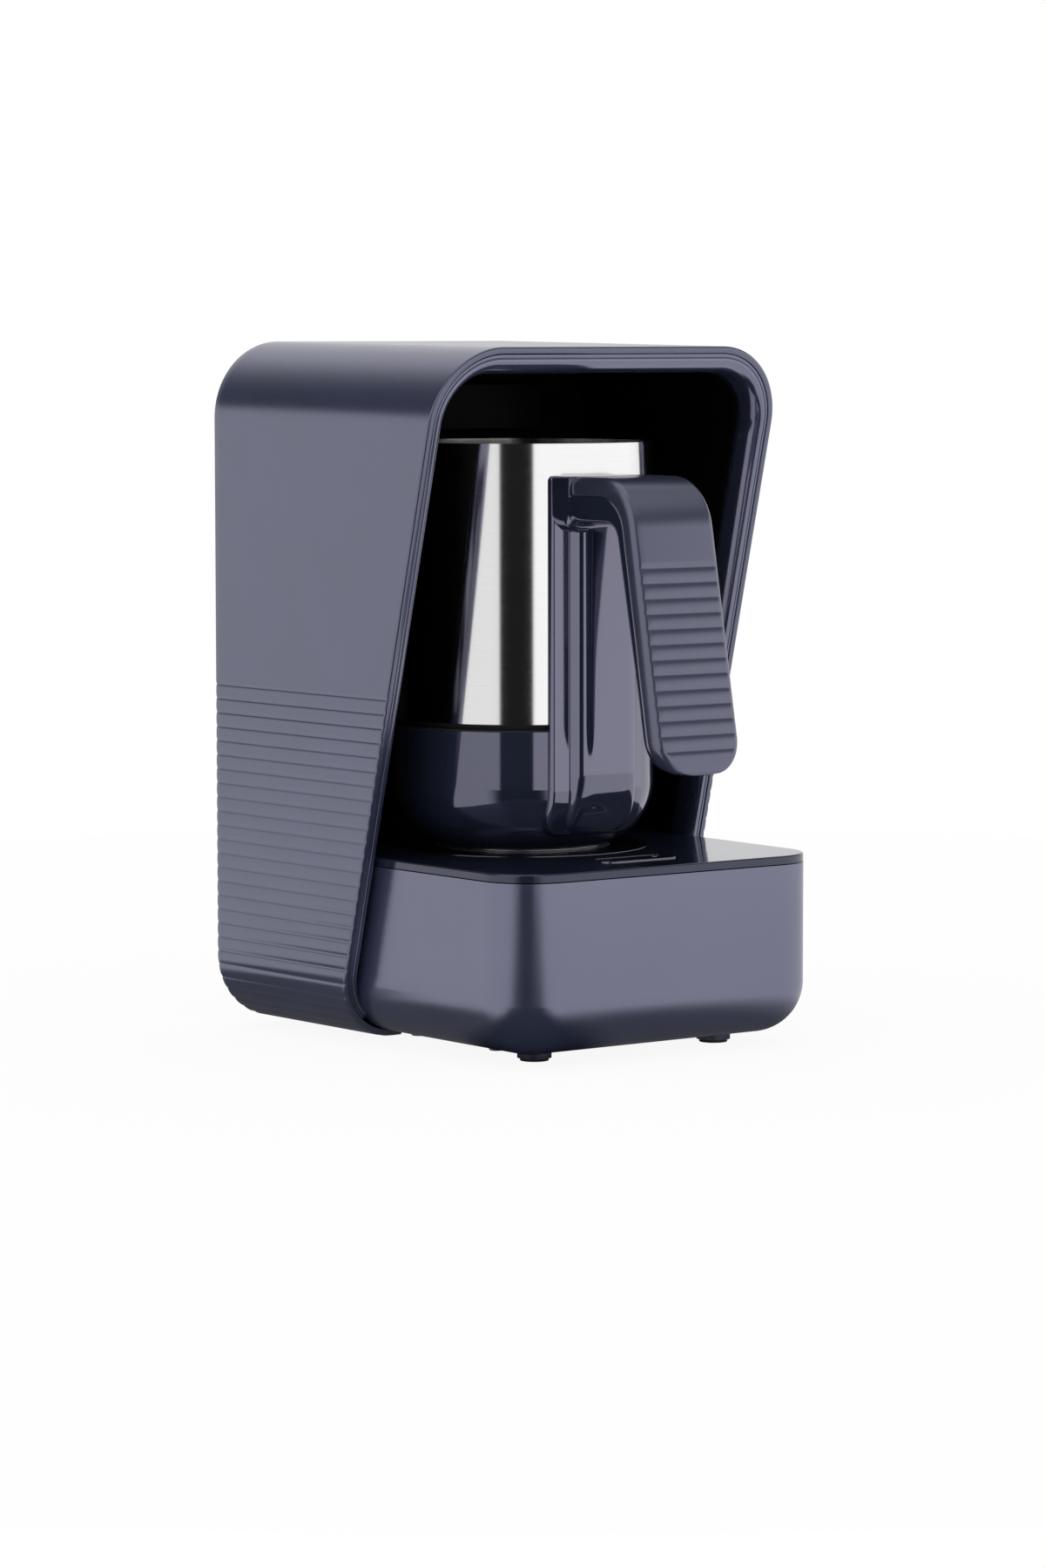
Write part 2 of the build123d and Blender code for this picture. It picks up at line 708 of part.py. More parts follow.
spring_low_z = control_board_z + spring_wire
spring_height = flange_top_z - button_flange - spring_wire - slip - spring_low_z
with BuildPart() as button_spring:
    with BuildLine(Plane(origin=(0, button_y, spring_low_z))):
        coil = Helix(spring_height / spring_turns, spring_height, spring_radius)
    with BuildSketch(Plane(origin=coil @ 0, z_dir=coil % 0)):
        Circle(spring_wire / 2)
    sweep(path=coil)

with BuildPart() as press_switch:
    with BuildSketch(Plane.XY.offset(control_board_z)):
        with Locations((0, button_y)):
            Rectangle(switch_size, switch_size)
    extrude(amount=switch_height - plunger_height)
    with BuildSketch(Plane.XY.offset(switch_top_z - plunger_height)):
        with Locations((0, button_y)):
            Circle(plunger_radius)
    extrude(amount=plunger_height)

with BuildPart() as control_board:
    with BuildSketch(Plane.XY.offset(control_board_z)):
        with Locations((0, button_y)):
            Rectangle(control_board_length, control_board_depth)
        with Locations((-post_x, button_y), (post_x, button_y)):
            Circle(screw_radius, mode=Mode.SUBTRACT)
    extrude(amount=-board_sheet)

with BuildPart() as status_led:
    with BuildSketch(Plane.XY.offset(control_board_z)):
        with Locations((window_x, button_y)):
            Circle(window_radius + gap)
    extrude(amount=led_height)

# ================================================================ power electronics
with BuildPart() as power_board:
    with BuildSketch(Plane.XY.offset(power_board_z)):
        with Locations((0, power_board_centre_y)):
            Rectangle(power_board_x, power_board_y)
        with Locations(*board_places):
            Circle(screw_radius, mode=Mode.SUBTRACT)
    extrude(amount=board_sheet)


def on_board(place, size):
    """Block of the given size that stands on the power board."""
    with BuildPart() as block:
        with BuildSketch(Plane.XY.offset(board_top_z)):
            with Locations((place[0], power_board_centre_y + place[1])):
                Rectangle(size[0], size[1])
        extrude(amount=size[2])
        fillet(edges().filter_by(Axis.Z), package_corner)
    return block.part


with BuildPart() as power_relay:
    add(on_board(relay_place, relay_size))
with BuildPart() as transformer:
    add(on_board(transformer_place, transformer_size))
with BuildPart() as terminal_block:
    add(on_board(terminal_place, terminal_size))
with BuildPart() as capacitor:
    with BuildSketch(Plane.XY.offset(board_top_z)):
        with Locations((capacitor_place[0], power_board_centre_y + capacitor_place[1])):
            Circle(capacitor_radius)
    extrude(amount=capacitor_height)
with BuildPart() as buzzer:
    with BuildSketch(Plane.XY.offset(board_top_z)):
        with Locations((buzzer_place[0], power_board_centre_y + buzzer_place[1])):
            Circle(buzzer_radius)
    extrude(amount=buzzer_height)

# ================================================================ sensor head
with BuildPart() as sensor_head:
    with BuildSketch(Plane.XZ.offset(-head_front_y)):
        with Locations((0, head_centre_z)):
            Rectangle(2 * head_half_width, head_high_z - head_low_z)
        fillet(vertices().group_by(Axis.Y)[-1], head_upper_corner)
        fillet(vertices().group_by(Axis.Y)[0], head_lower_corner)
    extrude(amount=-(cavity_rear_y - head_front_y))
    fillet(faces().sort_by(Axis.Y)[0].edges(), head_edge)
    with BuildSketch(Plane.XZ.offset(-head_front_y - head_wall)):
        with Locations((0, head_centre_z)):
            Rectangle(2 * (head_half_width - head_wall), head_high_z - head_low_z - 2 * head_wall)
        fillet(vertices().group_by(Axis.Y)[-1], head_upper_corner - head_wall)
        fillet(vertices().group_by(Axis.Y)[0], head_lower_corner - head_wall)
    extrude(amount=-(cavity_rear_y - head_front_y), mode=Mode.SUBTRACT)
    with BuildSketch(Plane.XZ.offset(-head_front_y - head_wall)):
        with Locations((-head_screw_x, head_centre_z), (head_screw_x, head_centre_z)):
            Circle(post_radius)
    extrude(amount=-(cavity_rear_y - head_front_y - head_wall))
    with BuildSketch(Plane.XZ.offset(-cavity_rear_y)):
        with Locations((-head_screw_x, head_centre_z), (head_screw_x, head_centre_z)):
            Circle(screw_radius)
    extrude(amount=screw_length, mode=Mode.SUBTRACT)
    with BuildSketch(Plane.XY.offset(head_low_z)):
        with Locations((0, lens_y)):
            Circle(lens_radius)
    extrude(amount=head_wall, mode=Mode.SUBTRACT)

with BuildPart() as sensor_window:
    with BuildSketch(Plane.XY.offset(head_low_z)):
        with Locations((0, lens_y)):
            Circle(lens_radius - slip)
    extrude(amount=lens_thickness)

with BuildPart() as sensor_board:
    with BuildSketch(Plane.XY.offset(head_low_z + head_wall + slip)):
        with Locations((0, lens_y)):
            Rectangle(sensor_board_size[0], sensor_board_size[1])
    extrude(amount=board_sheet)

# ================================================================ pot
inner_radius = pot_radius - jacket_wall - slip
inner_corner = pot_corner_radius - jacket_wall - slip
steel_floor_z = pot_base_z + base_disc_height + slip


def steel_profile(inset):
    """Half-profile of the steel can, drawn in by `inset`."""
    upper = pot_radius - inset
    lower = inner_radius - inset
    corner = inner_corner - inset
    floor = steel_floor_z + inset
    top = pot_rim_z
    shoulder = pot_seam_z - inset * tan(radians(shoulder_angle / 2))
    with BuildSketch() as profile:
        with BuildLine():
            Line((0, floor), (lower - corner, floor))
            RadiusArc((lower - corner, floor), (lower, floor + corner), -corner)
            Polyline((lower, floor + corner), (lower, shoulder), (upper, shoulder + jacket_wall))
            Polyline((upper, shoulder + jacket_wall), (upper, top), (0, top), (0, floor))
        make_face()
    return profile.sketch


with BuildPart() as pot_body:
    with BuildSketch(Plane.XZ):
        add(steel_profile(0))
    revolve(axis=Axis.Z)
    with BuildSketch(Plane.XZ):
        add(steel_profile(pot_sheet))
    revolve(axis=Axis.Z, mode=Mode.SUBTRACT)

with BuildPart() as pot_seal:
    with BuildSketch(Plane.XY.offset(pot_seam_z - seal_height)):
        Circle(pot_radius - seal_height)
        Circle(inner_radius + slip, mode=Mode.SUBTRACT)
    extrude(amount=seal_height)

jacket_top_z = pot_seam_z - seal_height
lining = inner_radius + slip
disc_opening = base_disc_radius + slip
with BuildPart() as pot_jacket:
    add(pot_form(0, jacket_top_z))
    with BuildSketch(Plane.XZ):
        with BuildLine():
            Line((0, pot_base_z - gap), (disc_opening, pot_base_z - gap))
            Line((disc_opening, pot_base_z - gap), (disc_opening, steel_floor_z - slip))
            Line((disc_opening, steel_floor_z - slip), (0, steel_floor_z - slip))
            Line((0, steel_floor_z - slip), (0, pot_base_z - gap))
        make_face()
    revolve(axis=Axis.Z, mode=Mode.SUBTRACT)
    with BuildSketch(Plane.XZ):
        with BuildLine():
            Line((0, steel_floor_z - slip), (lining - inner_corner - slip, steel_floor_z - slip))
            RadiusArc(
                (lining - inner_corner - slip, steel_floor_z - slip),
                (lining, steel_floor_z + inner_corner),
                -(inner_corner + slip),
            )
            Polyline((lining, steel_floor_z + inner_corner), (lining, jacket_top_z), (0, jacket_top_z))
            Line((0, jacket_top_z), (0, steel_floor_z - slip))
        make_face()
    revolve(axis=Axis.Z, mode=Mode.SUBTRACT)

with BuildPart() as pot_base_disc:
    with BuildSketch(Plane.XY.offset(pot_base_z)):
        Circle(base_disc_radius)
    extrude(amount=base_disc_height)
    fillet(faces().sort_by(Axis.Z)[0].edges(), gap)

# ================================================================ handle
arm_low_z = grip_top_z - arm_thickness
inner_run = (arm_low_z - grip_low_z) * tan(radians(grip_inner_lean))


def hook(start_y, outer_inset):
    """Side profile of the hook from the arm's top down to the grip's end."""
    lean = radians(grip_outer_lean)
    top_z = grip_top_z - outer_inset
    corner_y = grip_outer_y + outer_inset * (1 / cos(lean) - tan(lean))
    end_y = corner_y - (top_z - grip_low_z) * tan(lean)
    with BuildSketch() as profile:
        with BuildLine():
            Polyline(
                (start_y, top_z),
                (corner_y, top_z),
                (end_y, grip_low_z),
                (grip_inner_y - inner_run, grip_low_z),
                (grip_inner_y, arm_low_z),
                (start_y, arm_low_z),
                close=True,
            )
        make_face()
        fillet(vertices().sort_by_distance((corner_y, top_z))[0], grip_bend_radius - outer_inset)
        fillet(vertices().sort_by_distance((grip_inner_y, arm_low_z))[0], grip_inner_bend)
    return profile.sketch


with BuildPart() as front_form:
    with BuildSketch(Plane.XZ):
        with Locations((0, (grip_top_z + grip_low_z) / 2)):
            Rectangle(2 * grip_half_width, grip_top_z - grip_low_z)
        fillet(vertices().group_by(Axis.Y)[0], grip_end_radius)
    extrude(amount=-2 * grip_outer_y)

with BuildPart() as hook_solid:
    with BuildSketch(Plane.YZ.offset(-grip_half_width)):
        add(hook(-pot_radius + jacket_wall, 0))
    extrude(amount=2 * grip_half_width)
    add(front_form.part, mode=Mode.INTERSECT)

with BuildPart() as core_solid:
    with BuildSketch(Plane.YZ.offset(-grip_half_width)):
        add(hook(-pot_radius + jacket_wall, grip_cover))
    extrude(amount=2 * grip_half_width)
    add(front_form.part, mode=Mode.INTERSECT)

with BuildPart() as arm_root:
    with BuildSketch(Plane.YZ.offset(-grip_half_width)):
        with Locations(((grip_start_y - pot_radius + jacket_wall) / 2, grip_top_z - grip_cover / 2)):
            Rectangle(-grip_start_y - pot_radius + jacket_wall, grip_cover)
    extrude(amount=2 * grip_half_width)

bracket_high_z = bracket_tab_z + bracket_sheet


def bracket_form(clearance):
    """Strap that hugs the pot and turns out into the arm, larger by the clearance."""
    width = 2 * (bracket_half_width + clearance)
    with BuildPart() as form:
        with BuildSketch(Plane.XZ):
            with Locations((0, (bracket_low_z + bracket_high_z) / 2)):
                Rectangle(width, bracket_high_z - bracket_low_z + 2 * clearance)
        extrude(amount=2 * pot_radius)
        add(pot_form(bracket_sheet + clearance, pot_rim_z), mode=Mode.INTERSECT)
        with BuildSketch(Plane.XY.offset(bracket_tab_z - clearance)):
            with Locations((0, -(pot_radius + bracket_tab_reach + clearance) / 2)):
                Rectangle(width, pot_radius + bracket_tab_reach + clearance)
        extrude(amount=bracket_sheet + 2 * clearance)
        add(pot_form(slip - clearance, pot_rim_z + gap), mode=Mode.SUBTRACT)
    return form.part


handle_screw_z = arm_low_z + screw_head_height + slip
with BuildPart() as handle_frame:
    add(core_solid.part)
    add(arm_root.part)
    add(pot_form(slip, pot_rim_z + gap), mode=Mode.SUBTRACT)
    add(column_layer(column_half_width, column_proud, column_corner))
    add(column_layer(spine_half_width, spine_proud, column_corner))
    add(bracket_form(slip), mode=Mode.SUBTRACT)
    with BuildSketch(Plane.XY.offset(arm_low_z)):
        with Locations((0, handle_screw_y)):
            Circle(screw_head_radius + gap)
    extrude(amount=handle_screw_z - arm_low_z, mode=Mode.SUBTRACT)
    with BuildSketch(Plane.XY.offset(handle_screw_z)):
        with Locations((0, handle_screw_y)):
            Circle(screw_radius)
    extrude(amount=handle_screw_length + slip, mode=Mode.SUBTRACT)

rib_reach = grip_rib_radius - grip_rib_depth
rib_places = [
    (
        grip_outer_y - (grip_top_z - rib_z) * tan(radians(grip_outer_lean)) - rib_reach,
        rib_z,
    )
    for rib_z in (grip_rib_top_z - rib * grip_rib_pitch for rib in range(grip_rib_count))
]
with BuildPart() as handle_grip:
    add(hook_solid.part)
    outer_skin = faces().filter_by(
        lambda face: abs(face.normal_at().X) < slip and face.normal_at().Y < -slip
    )
    fillet(outer_skin.edges().filter_by(lambda edge: abs(edge.center().X) > grip_edge), grip_edge)
    add(core_solid.part, mode=Mode.SUBTRACT)
    add(arm_root.part, mode=Mode.SUBTRACT)
    with BuildSketch(Plane.YZ.offset(-grip_half_width)):
        with Locations(*rib_places):
            Circle(grip_rib_radius)
    extrude(amount=2 * grip_half_width, mode=Mode.SUBTRACT)

with BuildPart() as handle_bracket:
    add(bracket_form(0))
    with BuildSketch(Plane.XY.offset(bracket_tab_z)):
        with Locations((0, handle_screw_y)):
            Circle(screw_radius)
    extrude(amount=bracket_sheet, mode=Mode.SUBTRACT)

# ================================================================ screws
rear_low_places = [(side * rear_screw_x, hood_rear_y, rear_screw_low_z) for side in (-1, 1)]
rear_high_places = [(side * rear_screw_x, hood_rear_y, rear_screw_high_z) for side in (-1, 1)]
head_places = [(side * head_screw_x, cavity_rear_y + liner_wall, head_centre_z) for side in (-1, 1)]
control_places = [(side * post_x, button_y, control_board_z - board_sheet) for side in (-1, 1)]
cover_screws = screws([(x, y, base_floor_z) for x, y in cover_screw_places], (0, 0, 1), screw_length)
rear_screws = screws(rear_low_places + rear_high_places, (0, -1, 0), screw_length)
board_screws = screws([(x, y, board_top_z) for x, y in board_places], (0, 0, -1), screw_length)
control_screws = screws(control_places, (0, 0, 1), screw_length)
sensor_screws = screws(head_places, (0, -1, 0), screw_length)
handle_screw = screws([(0, handle_screw_y, handle_screw_z)], (0, 0, 1), handle_screw_length)

# ================================================================ wiring
block_top_z = board_top_z + terminal_size[2] + slip
block_y = power_board_centre_y + terminal_place[1]
element_foot_z = element_z - terminal_length - slip
rear_channel_y = (cavity_rear_y + liner_wall + rear_cover_front_y) / 2
control_wire_z = control_board_z - board_sheet - slip
shield_clear_z = shield_low_z - 3 * wire_radius
loom_x = terminal_place[0] + 3 * wire_spacing
up = (0, 0, 1)
wire_routes = [
    (
        [
            (terminal_place[0] - wire_spacing, block_y, block_top_z),
            (element_ends[0][0], element_ends[0][1], element_foot_z),
        ],
        up,
    ),
    (
        [
            (terminal_place[0] + wire_spacing / 2, block_y, block_top_z),
            (element_ends[1][0], element_ends[1][1], element_foot_z),
        ],
        up,
    ),
    (
        [
            (terminal_place[0] - 2 * wire_spacing, block_y, block_top_z),
            (-wire_spacing, power_board_centre_y, shield_clear_z - wire_spacing / 2),
            (-wire_spacing, button_y + control_board_depth, shield_clear_z - wire_spacing / 2),
            (0, button_y + wire_spacing, control_wire_z),
        ],
        up,
    ),
    (
        [
            (terminal_place[0] + 2 * wire_spacing, block_y, block_top_z),
            (loom_x, cavity_rear_y - 3 * wire_spacing, shield_clear_z - wire_spacing),
            (loom_x, rear_channel_y, parting_z),
            (loom_x, rear_channel_y, parting_z + wire_lead),
            (0, rear_channel_y, head_low_z - wire_lead),
            (0, rear_channel_y, head_low_z),
            (0, cavity_rear_y - wire_spacing, head_centre_z),
        ],
        (0, -1, 0),
    ),
]
wires = []
for route, end_direction in wire_routes:
    with BuildPart() as wire:
        with BuildLine() as run:
            Spline(*route, tangents=[up, end_direction])
        with BuildSketch(Plane(origin=run.line @ 0, z_dir=up)):
            Circle(wire_radius)
        sweep(path=run.line)
    wires.append(wire.part)

# ================================================================ write
pieces = {
    "outer_shell": outer_shell,
    "front_bezel": front_bezel,
    "cavity_liner": cavity_liner,
    "rear_cover": rear_cover,
    "cord_gland": cord_gland,
    "base_housing": base_housing,
    "top_plate": top_plate,
    "bottom_cover": bottom_cover,
    "feet": feet,
    "foot_pads": foot_pads,
    "seat_ring": seat_ring,
    "hotplate": hotplate,
    "heating_element": heating_element,
    "heat_shield": heat_shield,
    "thermostat": thermostat,
    "thermal_fuse": thermal_fuse,
    "button_bezel": button_bezel,
    "button_cap": button_cap,
    "light_window": light_window,
    "button_spring": button_spring,
    "press_switch": press_switch,
    "control_board": control_board,
    "status_led": status_led,
    "power_board": power_board,
    "power_relay": power_relay,
    "transformer": transformer,
    "terminal_block": terminal_block,
    "capacitor": capacitor,
    "buzzer": buzzer,
    "sensor_head": sensor_head,
    "sensor_window": sensor_window,
    "sensor_board": sensor_board,
    "pot_body": pot_body,
    "pot_seal": pot_seal,
    "pot_jacket": pot_jacket,
    "pot_base_disc": pot_base_disc,
    "handle_frame": handle_frame,
    "handle_grip": handle_grip,
    "handle_bracket": handle_bracket,
}
front_y = handle_grip.part.bounding_box().min.Y
rear_y = cord_gland.part.bounding_box().max.Y
centring = Location((0, -(front_y + rear_y) / 2, 0))
for name, piece in pieces.items():
    centred = piece.part.moved(centring)
    centred.label = name
    export_step(centred, f"parts/{name}.step")

groups = {
    "cover_screws": cover_screws,
    "rear_screws": rear_screws,
    "board_screws": board_screws,
    "control_screws": control_screws,
    "sensor_screws": sensor_screws,
    "handle_screw": handle_screw,
    "wiring_harness": wires,
}
for name, group in groups.items():
    centred = Compound(children=[solid.moved(centring) for solid in group])
    centred.label = name
    export_step(centred, f"parts/{name}.step")
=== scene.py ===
"""Looks of the electric turkish coffee maker, in the frame of its CAD model."""
import json
import math

import bmesh
import bpy
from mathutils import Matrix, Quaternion, Vector


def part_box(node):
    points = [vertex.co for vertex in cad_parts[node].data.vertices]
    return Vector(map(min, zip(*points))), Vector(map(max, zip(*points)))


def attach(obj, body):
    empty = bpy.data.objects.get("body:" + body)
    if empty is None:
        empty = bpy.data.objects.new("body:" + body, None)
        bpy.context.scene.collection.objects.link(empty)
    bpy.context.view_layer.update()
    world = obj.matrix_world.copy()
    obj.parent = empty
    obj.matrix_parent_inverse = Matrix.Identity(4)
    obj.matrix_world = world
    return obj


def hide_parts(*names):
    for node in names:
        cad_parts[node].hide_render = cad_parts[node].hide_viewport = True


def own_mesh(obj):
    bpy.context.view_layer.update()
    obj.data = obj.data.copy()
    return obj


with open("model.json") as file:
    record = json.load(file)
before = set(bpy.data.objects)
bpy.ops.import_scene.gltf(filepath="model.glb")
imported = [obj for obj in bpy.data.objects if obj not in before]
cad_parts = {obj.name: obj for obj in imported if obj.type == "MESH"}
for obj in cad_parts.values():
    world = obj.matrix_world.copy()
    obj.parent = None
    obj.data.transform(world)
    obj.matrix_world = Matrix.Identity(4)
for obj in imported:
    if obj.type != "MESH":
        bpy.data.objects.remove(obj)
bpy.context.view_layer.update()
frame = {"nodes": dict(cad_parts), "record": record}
nodes = frame["nodes"]

# ---------------------------------------------------------------- places
# Shapes are given in millimetres, with x and y about the pot's axis. Blender gets metres.
POT_Y = (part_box("pot_body")[0].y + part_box("pot_body")[1].y) / 2
MM = 0.001


def at(x, y, z):
    """Point in metres from millimetres about the pot's axis."""
    return Vector((x * MM, y * MM + POT_Y, z * MM))


def span(start, end, count):
    """Evenly spaced numbers from start to end, both included."""
    return [start + (end - start) * i / (count - 1) for i in range(count)]


def arc(start, end, count):
    """Evenly spaced angles in radians, from degrees."""
    return [math.radians(angle) for angle in span(start, end, count)]


# ---------------------------------------------------------------- node trees
class Tree:
    """Short hand for the node tree of a material or a world."""

    def __init__(self, owner):
        owner.use_nodes = True
        self.tree = owner.node_tree
        self.tree.nodes.clear()

    def link(self, source, target):
        self.tree.links.new(source, target)

    def node(self, kind, **values):
        """New node. Each value goes to the socket of that name, or else to the node's own setting."""
        made = self.tree.nodes.new(kind)
        for key, value in values.items():
            if key in made.inputs:
                made.inputs[key].default_value = value
            else:
                setattr(made, key, value)
        return made

    def maths(self, operation, *values):
        made = self.node("ShaderNodeMath", operation=operation)
        for socket, value in zip(made.inputs, values):
            if isinstance(value, (int, float)):
                socket.default_value = value
            else:
                self.link(value, socket)
        return made.outputs[0]

    def product(self, first, *others):
        for other in others:
            first = self.maths("MULTIPLY", first, other)
        return first

    def degrees(self, operation, *values):
        return self.product(self.maths(operation, *values), 180 / math.pi)

    def ramp(self, value, low, high, start=0.35, end=0.65, interpolation="LINEAR"):
        made = self.node("ShaderNodeMapRange", interpolation_type=interpolation)
        for key, number in zip(("From Min", "From Max", "To Min", "To Max"), (start, end, low, high)):
            made.inputs[key].default_value = number
        self.link(value, made.inputs["Value"])
        return made.outputs[0]

    def step(self, value, start, end, low=0.0, high=1.0):
        """Smooth step from low to high."""
        return self.ramp(value, low, high, start, end, "SMOOTHSTEP")

    def fall(self, value, start, end):
        """Smooth step from 1 to 0."""
        return self.step(value, start, end, 1.0, 0.0)

    def between(self, value, start, full, fade, end):
        """1 from full to fade, and 0 outside start and end."""
        return self.product(self.step(value, start, full), self.fall(value, fade, end))

    def split(self, coordinates):
        """x, y and z of the texture coordinates of that name."""
        made = self.node("ShaderNodeSeparateXYZ")
        self.link(self.node("ShaderNodeTexCoord").outputs[coordinates], made.inputs[0])
        return made.outputs

    def ray(self, kind):
        return self.node("ShaderNodeLightPath").outputs[kind]


class Material(Tree):
    """New material with a Principled shader."""

    def __init__(self, name):
        self.material = bpy.data.materials.new(name)
        super().__init__(self.material)
        self.shader = self.node("ShaderNodeBsdfPrincipled")
        self.link(self.shader.outputs[0], self.node("ShaderNodeOutputMaterial").inputs[0])
        self.coords = self.node("ShaderNodeTexCoord").outputs["Object"]

    def noise(self, scale, detail, rough, stretch=(1, 1, 1)):
        mapping = self.node("ShaderNodeMapping", Scale=stretch)
        self.link(self.coords, mapping.inputs["Vector"])
        made = self.node("ShaderNodeTexNoise", Scale=scale, Detail=detail, Roughness=rough)
        self.link(mapping.outputs[0], made.inputs["Vector"])
        return made.outputs["Fac"]

    def mix_colour(self, factor, first, second):
        """Mix of two colours, each a tuple or a socket."""
        made = self.node("ShaderNodeMix", data_type="RGBA")
        self.link(factor, made.inputs["Factor"])
        for socket, colour in zip((made.inputs[6], made.inputs[7]), (first, second)):
            if isinstance(colour, tuple):
                socket.default_value = (*colour, 1)
            else:
                self.link(colour, socket)
        return made.outputs[2]

    def bump(self, height, distance):
        made = self.node("ShaderNodeBump", Strength=1.0, Distance=distance)
        self.link(height, made.inputs["Height"])
        self.link(made.outputs[0], self.shader.inputs["Normal"])


# ---------------------------------------------------------------- materials
# Noises as (scale, detail, roughness). The cloud changes the colour, and the smudges change the roughness.
CLOUD, CLOUD_SPREAD = (38.0, 5.0, 0.6), 0.08
SMUDGE, SMUDGE_SHARES = (55.0, 6.0, 0.7), (0.95, 1.06)
GRAIN_DETAIL, GRAIN_ROUGH = 3.0, 0.55
# Paler edges, partly rubbed wear and partly a painted highlight: how far round them is felt, where they fade by the
# turn of the normal, and their paler tone.
EDGE_WEAR_HIGHLIGHT_RADIUS, EDGE_WEAR_HIGHLIGHT_SAMPLES, EDGE_WEAR_HIGHLIGHT_FADE = 0.0006, 6, (0.86, 0.985)
EDGE_WEAR_HIGHLIGHT_GAIN, EDGE_WEAR_HIGHLIGHT_LIFT = 1.5, 0.02
SCRATCH_DETAIL, SCRATCH_ROUGH, SCRATCH_SPREAD, SCRATCH_SHARES = 8.0, 0.75, 0.06, (0.8, 1.25)


def plastic(name, colour, roughness, grain=0.00002, grain_scale=1400.0, ior=1.5, tint=(1, 1, 1), edge=0.25):
    """Moulded plastic: a fine grain, faint flow marks, paler edges that are partly rubbed wear and partly a painted
    highlight. The edge share sets how strong they are.
    """
    m = Material(name)
    darker = tuple(c * (1 - CLOUD_SPREAD) for c in colour)
    lighter = tuple(min(1, c * (1 + CLOUD_SPREAD)) for c in colour)
    paler_wear_and_highlight = tuple(min(1, c * EDGE_WEAR_HIGHLIGHT_GAIN + EDGE_WEAR_HIGHLIGHT_LIFT) for c in colour)
    base = m.mix_colour(m.ramp(m.noise(*CLOUD), 0.0, 1.0), darker, lighter)
    # Paler edges where the bevel turns the normal: partly rubbed wear, partly a painted highlight along the rounded
    # edges.
    rounded = m.node("ShaderNodeBevel", Radius=EDGE_WEAR_HIGHLIGHT_RADIUS, samples=EDGE_WEAR_HIGHLIGHT_SAMPLES)
    turned = m.node("ShaderNodeVectorMath", operation="DOT_PRODUCT")
    m.link(rounded.outputs[0], turned.inputs[0])
    m.link(m.node("ShaderNodeNewGeometry").outputs["Normal"], turned.inputs[1])
    wear_and_highlight = m.ramp(turned.outputs["Value"], edge, 0.0, *EDGE_WEAR_HIGHLIGHT_FADE)
    m.link(m.mix_colour(wear_and_highlight, base, paler_wear_and_highlight), m.shader.inputs["Base Color"])
    low, high = (roughness * share for share in SMUDGE_SHARES)
    m.link(m.ramp(m.noise(*SMUDGE), low, high), m.shader.inputs["Roughness"])
    m.bump(m.noise(grain_scale, GRAIN_DETAIL, GRAIN_ROUGH), grain)
    m.shader.inputs["IOR"].default_value = ior
    m.shader.inputs["Specular Tint"].default_value = (*tint, 1)
    return m.material


def metal(name, colour, roughness, scale, stretch=(1, 1, 1), bump=0.000006):
    """Brushed or turned metal: fine scratches, long ones where the noise is stretched."""
    m = Material(name)
    lines = m.noise(scale, SCRATCH_DETAIL, SCRATCH_ROUGH, stretch)
    darker = tuple(c * (1 - SCRATCH_SPREAD) for c in colour)
    m.link(m.mix_colour(m.ramp(lines, 0, 1), darker, colour), m.shader.inputs["Base Color"])
    low, high = (roughness * share for share in SCRATCH_SHARES)
    m.link(m.ramp(lines, low, high), m.shader.inputs["Roughness"])
    m.bump(lines, bump)
    m.shader.inputs["Metallic"].default_value = 1.0
    return m.material


# The photographed plastic mirrors the white studio with a bluish tint, and more strongly than a usual plastic.
COOL = (0.76, 0.755, 1.0)
NAVY, DEEP_NAVY = (0.026, 0.032, 0.060), (0.016, 0.020, 0.038)
SATIN = plastic("satin_plastic", NAVY, 0.22, grain=0.000003, ior=2.3, tint=COOL)
BASE = plastic("base_plastic", NAVY, 0.22, grain=0.000003, ior=2.65, tint=COOL)
TRIM_GLOSS = plastic("bezel_plastic", (0.022, 0.027, 0.052), 0.14, grain=0.000004, ior=2.7, tint=COOL)
GLOSS = plastic("gloss_plastic", DEEP_NAVY, 0.07, grain=0.000002, ior=2.25, tint=COOL)
HANDLE = plastic("handle_gloss", DEEP_NAVY, 0.07, grain=0.000002, ior=2.55, tint=COOL)
PLATE = plastic("plate_plastic", (0.012, 0.016, 0.030), 0.09, grain=0.000002, ior=1.75, tint=COOL)
SOFT = plastic(
    "soft_touch", (0.028, 0.032, 0.056), 0.26, grain=0.000003, grain_scale=2200.0, ior=2.2, tint=COOL, edge=0.12
)
BLACK = plastic("black_gloss", (0.0025, 0.0025, 0.0035), 0.14, grain=0.000004)
LINER = plastic("liner_black", (0.0012, 0.0014, 0.0016), 0.40, grain=0.00001, ior=1.18)
# The sensor head's high edge share paints a highlight line along its rounded edges.
HEAD = plastic("head_black", (0.0016, 0.0018, 0.0020), 0.25, grain=0.000004, ior=1.1, edge=0.8)
RUBBER = plastic("rubber", (0.016, 0.016, 0.018), 0.72, grain=0.00005, grain_scale=900.0)
INNER = plastic("inner_plastic", (0.05, 0.05, 0.055), 0.5)
BOARD = plastic("circuit_board", (0.008, 0.09, 0.035), 0.35, grain=0.00004, grain_scale=500.0)
WIRE = plastic("wire_insulation", (0.30, 0.02, 0.015), 0.4)
WINDOW = plastic("light_guide", (0.60, 0.63, 0.72), 0.25)
BUTTON = plastic("button_gloss", (0.010, 0.012, 0.022), 0.08, grain=0.000003)
STEEL = metal("brushed_steel", (0.76, 0.755, 0.76), 0.10, 60.0, stretch=(1.0, 1.0, 60.0), bump=0.0000015)
TRIM = metal("bright_trim", (0.80, 0.80, 0.83), 0.16, 300.0)
